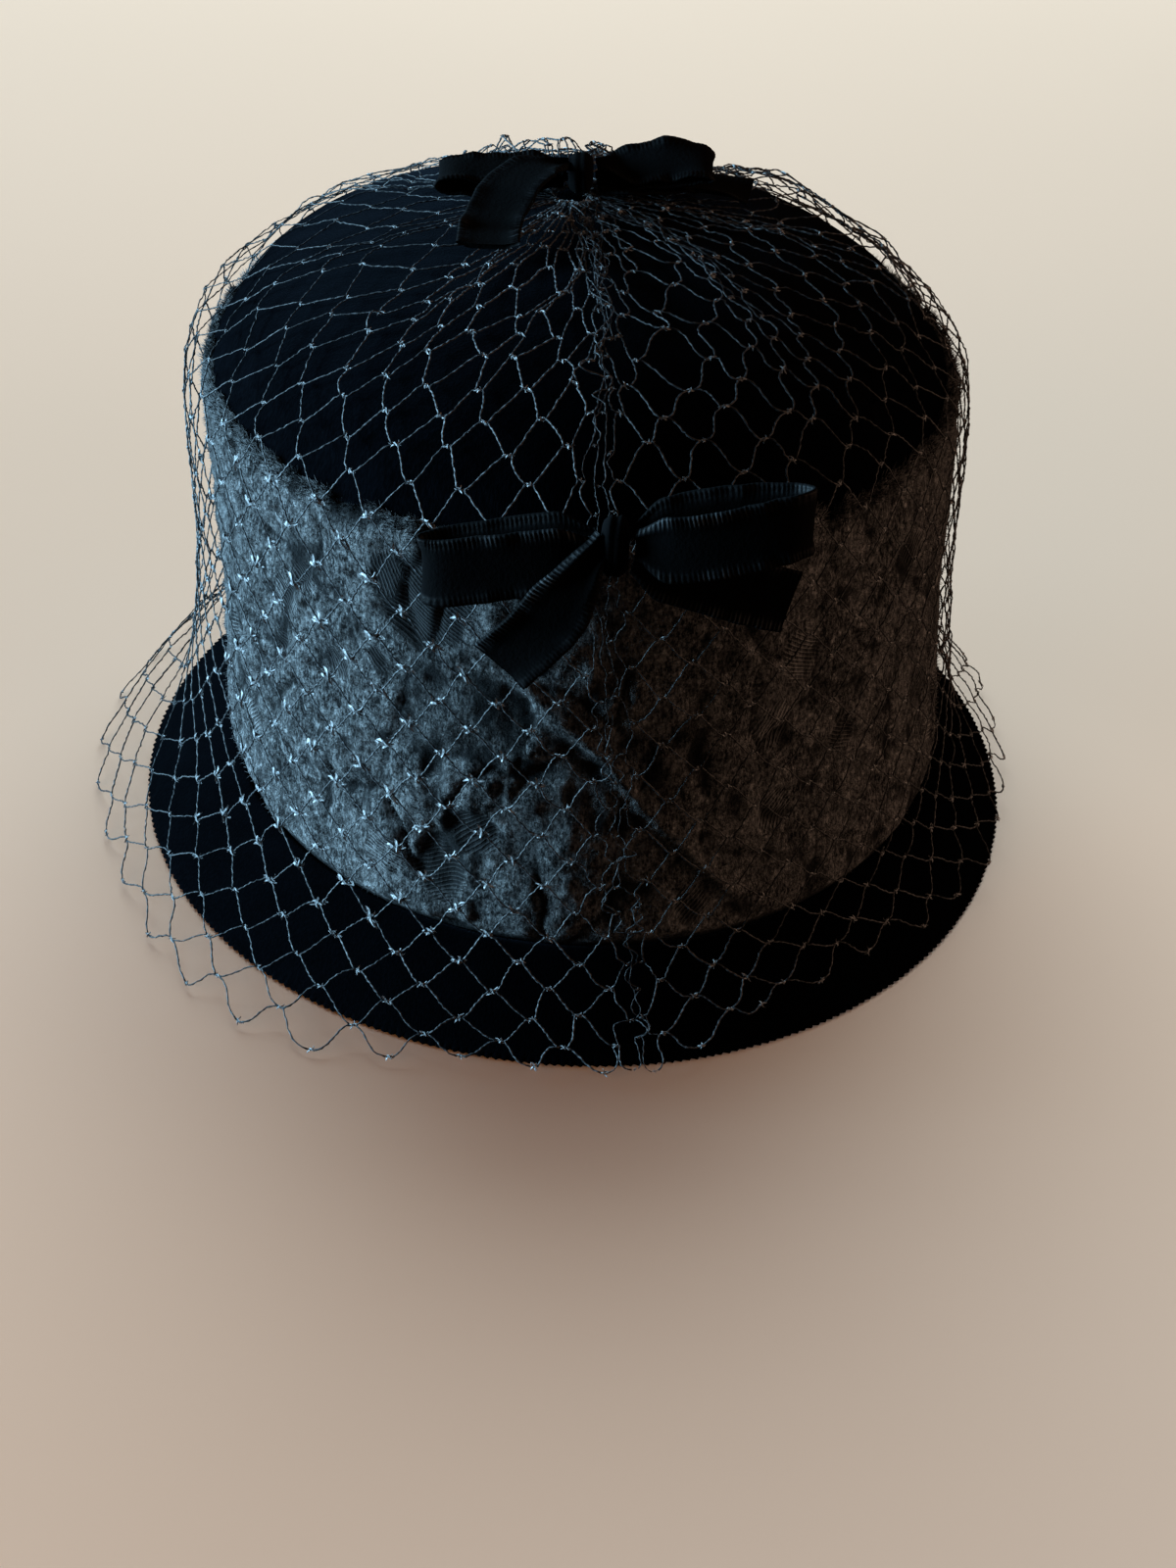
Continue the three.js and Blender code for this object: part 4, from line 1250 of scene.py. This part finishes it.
TOP_BOW = {
    "loop_left": ((-3.5, 1.2, 1.5), (-10, 2.6, 1.1), (-20, 1, 0.7), (-28, 0, 0.7),
                  (-31.2, -0.2, 2.2), (-28, 0.2, 3.7), (-20, 1.2, 4.1), (-10, 2.6, 4.0),
                  (-3.5, 1.4, 3.6)),
    "loop_right": ((3.6, 1.4, 2.6), (14, 3.2, 3.0), (25, 4.3, 3.6), (28.8, 4.4, 5.2),
                   (26.5, 4.3, 7.4), (20.5, 4.2, 8.6), (13, 3.2, 7.4), (8, 2.2, 6.0),
                   (3.6, 1.4, 5)),
    "tail_left": ((-2.0, 0.6, 5.2), (-6.6, -3.4, 6.4), (-10.5, -6.6, 6.4), (-14.6, -13.5, 5.2),
                  (-17, -21, 2.6), (-18.4, -29, 1.3), (-18.4, -38, 0.9)),
    "tail_right": ((4.2, -0.8, 1), (10, 0.6, 0.9), (16, 2.6, 0.8), (24, 5.2, 0.3),
                   (33, 6.4, -0.8), (38.4, 5.8, -1.6)),
}

# Each bow's ribbons, where its knot is sewn on (from the crown's axis), and the directions up its
# face and out from the hat.
BOWS = {
    "back_bow": (BACK_BOW, (4.8, -100.9, 120.5), (0, 0.15, 1), (0, -1, 0.15)),
    "top_bow": (TOP_BOW, (-6.3, 6.6, 149.6), (0, 1, 0), (0, 0, 1)),
}

# Painted highlights: how bright the ribs are painted on the upper and the lower selvedge of each
# ribbon.
RIB_PAINTED_SHINE = {
    "back_bow_loop_left": (1.3, 0.0),
    "back_bow_loop_right": (2.0, 0.8),
    "back_bow_tail_left": (1.6, 0.12),
    "back_bow_tail_right": (0.05, 1.2),
    "top_bow_loop_left": (0.2, 0.1),
    "top_bow_loop_right": (0.15, 0.1),
    "top_bow_tail_left": (0.25, 0.15),
    "top_bow_tail_right": (0.1, 0.1),
}

# Degrees by which a loop's outer layer folds down towards the back, about its far edge.
LOOP_FOLD = {"top_bow_loop_right": 24.0, "top_bow_loop_left": 8.0}


def ribbon_section():
    """The ribbon's section as (across, thick) with the selvedge share at each point: thick pile
    in the middle and a rounded ribbed band at either edge, going round once."""
    inwards = np.array((0, 0.22, 0.55, 0.9, 1.15)) * SELVEDGE / (RIBBON_WIDTH / 2)
    across = np.concatenate([inwards - 1, (-0.3, 0.3), 1 - inwards[::-1]])
    half_edge = np.array((0.35, 1.0, 0.75, 0.1, 0, 0))
    edge = np.concatenate([half_edge, half_edge[::-1]])
    thick = np.where(edge > 0.1, RIBBON_EDGE, RIBBON_PILE) / 2
    thick[[0, -1]] *= 0.5
    loop_across = np.concatenate([across, across[::-1]])
    loop_thick = np.concatenate([thick, -thick[::-1]])
    return loop_across, loop_thick, np.concatenate([edge, edge[::-1]])


def ribbon_course(node, rows, is_loop, steps):
    """The ribbon's middle line, the directions along its width and out of its pile, its width,
    and how far it is spread: gathered at the knot and full from PINCH_REACH on. A loop's pile
    faces away from the loop's inside, and a tail's faces outwards."""
    middle = smooth_path(rows, steps)
    run = unit(np.gradient(middle, axis=0))
    if is_loop:
        face = unit(np.cross(np.array((0.0, 1.0, 0.0)), run)) * np.sign(rows[1][0] - rows[0][0])
    else:
        face = unit(np.array((0.0, 0.0, 1.0)) - run[:, 2:] * run)
    side = unit(np.cross(face, run))
    spread = rise(np.abs(middle[:, 0]), KNOT_SIZE[0] / 2, PINCH_REACH)
    width = RIBBON_WIDTH * (PINCHED_SHARE + (1 - PINCHED_SHARE) * spread)
    fold = math.radians(LOOP_FOLD.get(node, 0.0)) * rise(np.linspace(0, 1, steps), 0.4, 0.7)
    fold = (fold * spread)[:, None]
    over = np.sign(side[:, 1:2]) * np.sign(face[:, 2:])
    middle = middle - np.abs(np.sin(fold)) * width[:, None] / 2 * np.array((0.0, 0.0, 1.0))
    return (middle, side * np.cos(fold) + face * np.sin(fold) * over,
            face * np.cos(fold) - side * np.sin(fold) * over, width, spread)


def build_ribbon(node, rows, spot, axes, seed, material):
    """A velvet ribbon carried along a smooth curve, its width square to the run and its pile
    outwards. The knot gathers it into soft pleats. Its selvedges are ribbed across, curl towards
    the pile side and ruffle, and each rib has a painted highlight of random strength, stronger on
    a loop's front towards the knot."""
    name = f"{node}_ribbon"
    is_loop = "_loop_" in node
    length = np.linalg.norm(np.diff(np.array(rows), axis=0), axis=1).sum()
    steps = int(length / RIB_STEP * SAMPLES_PER_RIB)
    middle, side, face, width, spread = ribbon_course(node, rows, is_loop, steps)
    section_across, section_thick, edge = ribbon_section()
    rng = np.random.default_rng(60 + seed + len(name))
    travelled = np.linspace(0, length, steps)
    marks = np.arange(0, length + 4, RUFFLE_STEP)
    wobble, drift = [np.interp(travelled, marks, rng.normal(0, size, len(marks)))[:, None]
                     for size in (1, 0.7)]
    phase = travelled[:, None] * 2 * np.pi / RIB_STEP + section_across * 1.3 + drift
    thick = section_thick + np.sign(section_thick) * RIB_DEPTH * 0.5 * np.sin(phase) * edge
    pleat = PLEAT_DEPTH * (1 - spread)[:, None] * np.cos(section_across * 3 * np.pi)
    curl = rise(np.abs(section_across), 0.45, 1.0)
    ruffle = (0.75 + 0.30 * wobble * np.sign(section_across)) * curl
    soft = 0.30 * np.sin(travelled / length * 7 + seed)[:, None] * section_across**2 + ruffle
    soft = soft * (0.3 + 0.7 * spread[:, None])
    points = middle[:, None] + side[:, None] * (width[:, None] / 2 * section_across)[..., None]
    points = points + face[:, None] * (thick + pleat + soft)[..., None]
    points = points @ axes + spot
    around = len(section_across)
    walls = ring_faces(steps, around, False, True)
    start = np.arange(around // 2 - 1)
    caps = np.stack([start, start + 1, around - 2 - start, around - 1 - start], -1)
    end_caps = caps[:, ::-1] + (steps - 1) * around
    number = np.round(travelled / RIB_STEP).astype(int)
    # Painted highlights on the ribs: a random brightness for each rib, waxing and waning along the
    # ribbon, and on a loop brighter towards the knot.
    painted_shine = (rng.uniform(0.1, 1, number[-1] + 1) ** 2)[number]
    painted_shine = painted_shine * (0.3 + 0.7 * np.sin(travelled / 9.0 + seed * 1.7) ** 2)
    if is_loop:
        painted_shine = painted_shine * (0.08 + 1.3 * rise(travelled / length, 0.58, 0.9))
    upper = section_across * np.sign(side[:, 1:2]) > 0
    painted_gleam = np.where(upper, *RIB_PAINTED_SHINE[node]) * painted_shine[:, None]
    values = {"edge": np.tile(edge, (steps, 1)), "rib": phase, "painted_gleam": painted_gleam}
    piece = add_mesh(name, points.reshape(-1, 3), [walls, caps, end_caps], material,
                     values=values)
    wear(piece, "bow_ribbon", node)


def build_knot(node, spot, axes, material):
    """The knot: a band of ribbon wrapped upright round the bow's middle, an oval drum with
    rounded ends and a slight waist, creased where it is pulled tight."""
    width, height, depth = KNOT_SIZE
    share = np.sin(np.linspace(-np.pi / 2, np.pi / 2, KNOT_RINGS + 2))[1:-1]
    angle = np.linspace(0, 2 * np.pi, KNOT_COLUMNS, endpoint=False)
    cosine = np.cos(angle)[None, :]
    sine = np.sin(angle)[None, :]
    round_off = (1 - np.abs(share) ** KNOT_ENDS_POWER)[:, None] ** (1 / KNOT_ENDS_POWER)
    waist = 1 - 0.10 * (1 - share**2)[:, None]
    crease = 1 - 0.035 * np.cos(share[:, None] * 9 + 1.3 * sine)
    power = 2 / KNOT_OVAL_POWER
    u = np.sign(cosine) * np.abs(cosine) ** power * height / 2 * round_off * waist * crease
    o = np.sign(sine) * np.abs(sine) ** power * depth / 2 * round_off * crease + depth / 2
    a = share[:, None] * width / 2 + 0 * u
    points = np.stack([a, u, o], -1).reshape(-1, 3)
    poles = np.array([(-width / 2, 0, depth / 2), (width / 2, 0, depth / 2)])
    points = np.concatenate([points, poles]) @ axes + spot
    walls = ring_faces(KNOT_RINGS, KNOT_COLUMNS, False, True)
    ring = np.arange(KNOT_COLUMNS)
    pole = KNOT_RINGS * KNOT_COLUMNS
    first = fan_faces(ring, pole)[:, ::-1]
    last = fan_faces(ring + pole - KNOT_COLUMNS, pole + 1)
    blank = np.zeros(len(points))
    values = {"edge": blank, "rib": blank, "painted_gleam": blank}
    piece = add_mesh(f"{node}_wrap", points, [walls, first, last], material, values=values)
    wear(piece, "bow_ribbon", node)


def build_bow(bow, ribbons, spot, up, out, material):
    """A bow's four ribbons and its knot. spot is where the knot is sewn on; up and out are the
    directions of the bow's face."""
    up = np.array(up) / np.linalg.norm(up)
    out = np.array(out) / np.linalg.norm(out)
    axes = np.stack([np.cross(up, out), up, out])
    for seed, (part, rows) in enumerate(ribbons.items()):
        build_ribbon(f"{bow}_{part}", rows, spot, axes, seed, material)
    build_knot(f"{bow}_knot", spot, axes, material)


# ---------------------------------------------------------------- making the hat

tip_velvet = velvet_material("tip_velvet", dark=(0.0005, 0.0006, 0.0008),
                             light=(0.0018, 0.0023, 0.0034), sheen=0.02)
brim_velvet = velvet_material("brim_velvet", dark=(0.0006, 0.0007, 0.0009),
                              light=(0.0014, 0.0017, 0.0024), sheen=0.014)
net_thread = thread_material("net_thread", dark=(0.011, 0.012, 0.014), light=(0.16, 0.168, 0.18))
# The net's knots: the same thread painted several times lighter, as a painted highlight.
net_knot_painted_highlight = thread_material("net_knot_painted_highlight", dark=(0.12, 0.125, 0.133), light=(0.78, 0.81, 0.83))
bow_ribbon = ribbon_material()

build_crown_tip(tip_velvet)
build_crown_side(plush_material())
build_fuzz(fuzz_material())
build_brim(brim_velvet)
build_veil(net_thread, net_knot_painted_highlight)

axis = np.array((AXIS_X, AXIS_Y, 0.0))
for bow, (ribbons, spot, up, out) in BOWS.items():
    build_bow(bow, ribbons, axis + spot, up, out, bow_ribbon)

# ---------------------------------------------------------------- floor and light

FLOOR_HALF = 4000.0
ROOM_TINT = (1.0, 0.68, 0.48, 1.0)
ROOM_GLOW = 0.032

# Each soft box's way from the hat, its distance and size in metres, its power and tint, and what
# it lights. A cool window on the left and a weak warm lamp on the right light the hat. The
# ceiling lights the paper, most at the far side, and three weak tinted boxes stand round it.
SOFT_BOXES = {
    "window": ((-0.97, -0.02, 0.17), 1.5, 0.6, 76.0, (0.41, 0.74, 1.0), "hat"),
    "lamp": ((1.0, 0.0, 0.25), 1.6, 0.7, 6.0, (1.0, 0.6, 0.4), "hat"),
    "ceiling": ((-0.05, 1.0, 1.0), 1.9, 2.2, 41.5, (1.0, 0.97, 0.90), "paper"),
    "glow": ((-0.7, -1.0, 0.5), 1.1, 0.6, 2.1, (1.0, 0.34, 0.05), "paper"),
    "spill": ((-1.0, 0.25, 0.4), 1.2, 0.6, 1.6, (0.65, 0.85, 1.0), "paper"),
    "bounce": ((0.9, -0.7, 0.5), 1.2, 0.8, 2.4, (1.0, 0.74, 0.68), "paper"),
}


def build_floor():
    """A wide sheet of paper on z = 0, which throws no light back on the hat."""
    corners = FLOOR_HALF * np.array([(-1, -1, 0), (1, -1, 0), (1, 1, 0), (-1, 1, 0)])
    floor = add_mesh("stage_floor", corners, [np.array([(0, 1, 2, 3)])], floor_material())
    floor.visible_diffuse = False
    floor.visible_glossy = False
    return floor


def soft_light(name, direction, distance, size, power, tint, receivers):
    """A square soft box that faces the hat from a direction and lights one set of pieces."""
    data = bpy.data.lights.new(name, "AREA")
    data.shape = "SQUARE"
    data.size = size
    data.energy = power
    data.color = tint
    light = bpy.data.objects.new(name, data)
    middle = Vector((AXIS_X, AXIS_Y, SIDE_TOP / 2)) * MM
    way = Vector(direction).normalized()
    light.location = middle + way * distance
    light.rotation_mode = "QUATERNION"
    light.rotation_quaternion = way.to_track_quat("Z", "Y")
    light.light_linking.receiver_collection = receivers
    light.visible_camera = False
    bpy.context.scene.collection.objects.link(light)


def make_light(floor):
    """A dim warm room and the soft boxes."""
    world = bpy.data.worlds.new("room")
    world.use_nodes = True
    background = world.node_tree.nodes["Background"]
    background.inputs["Color"].default_value = ROOM_TINT
    background.inputs["Strength"].default_value = ROOM_GLOW
    bpy.context.scene.world = world
    paper = bpy.data.collections.new("paper")
    paper.objects.link(floor)
    lit = {"hat": hat_pieces, "paper": paper}
    for name, (*box, receivers) in SOFT_BOXES.items():
        soft_light(name, *box, lit[receivers])
    bpy.context.scene.view_settings.view_transform = "Standard"


make_light(build_floor())
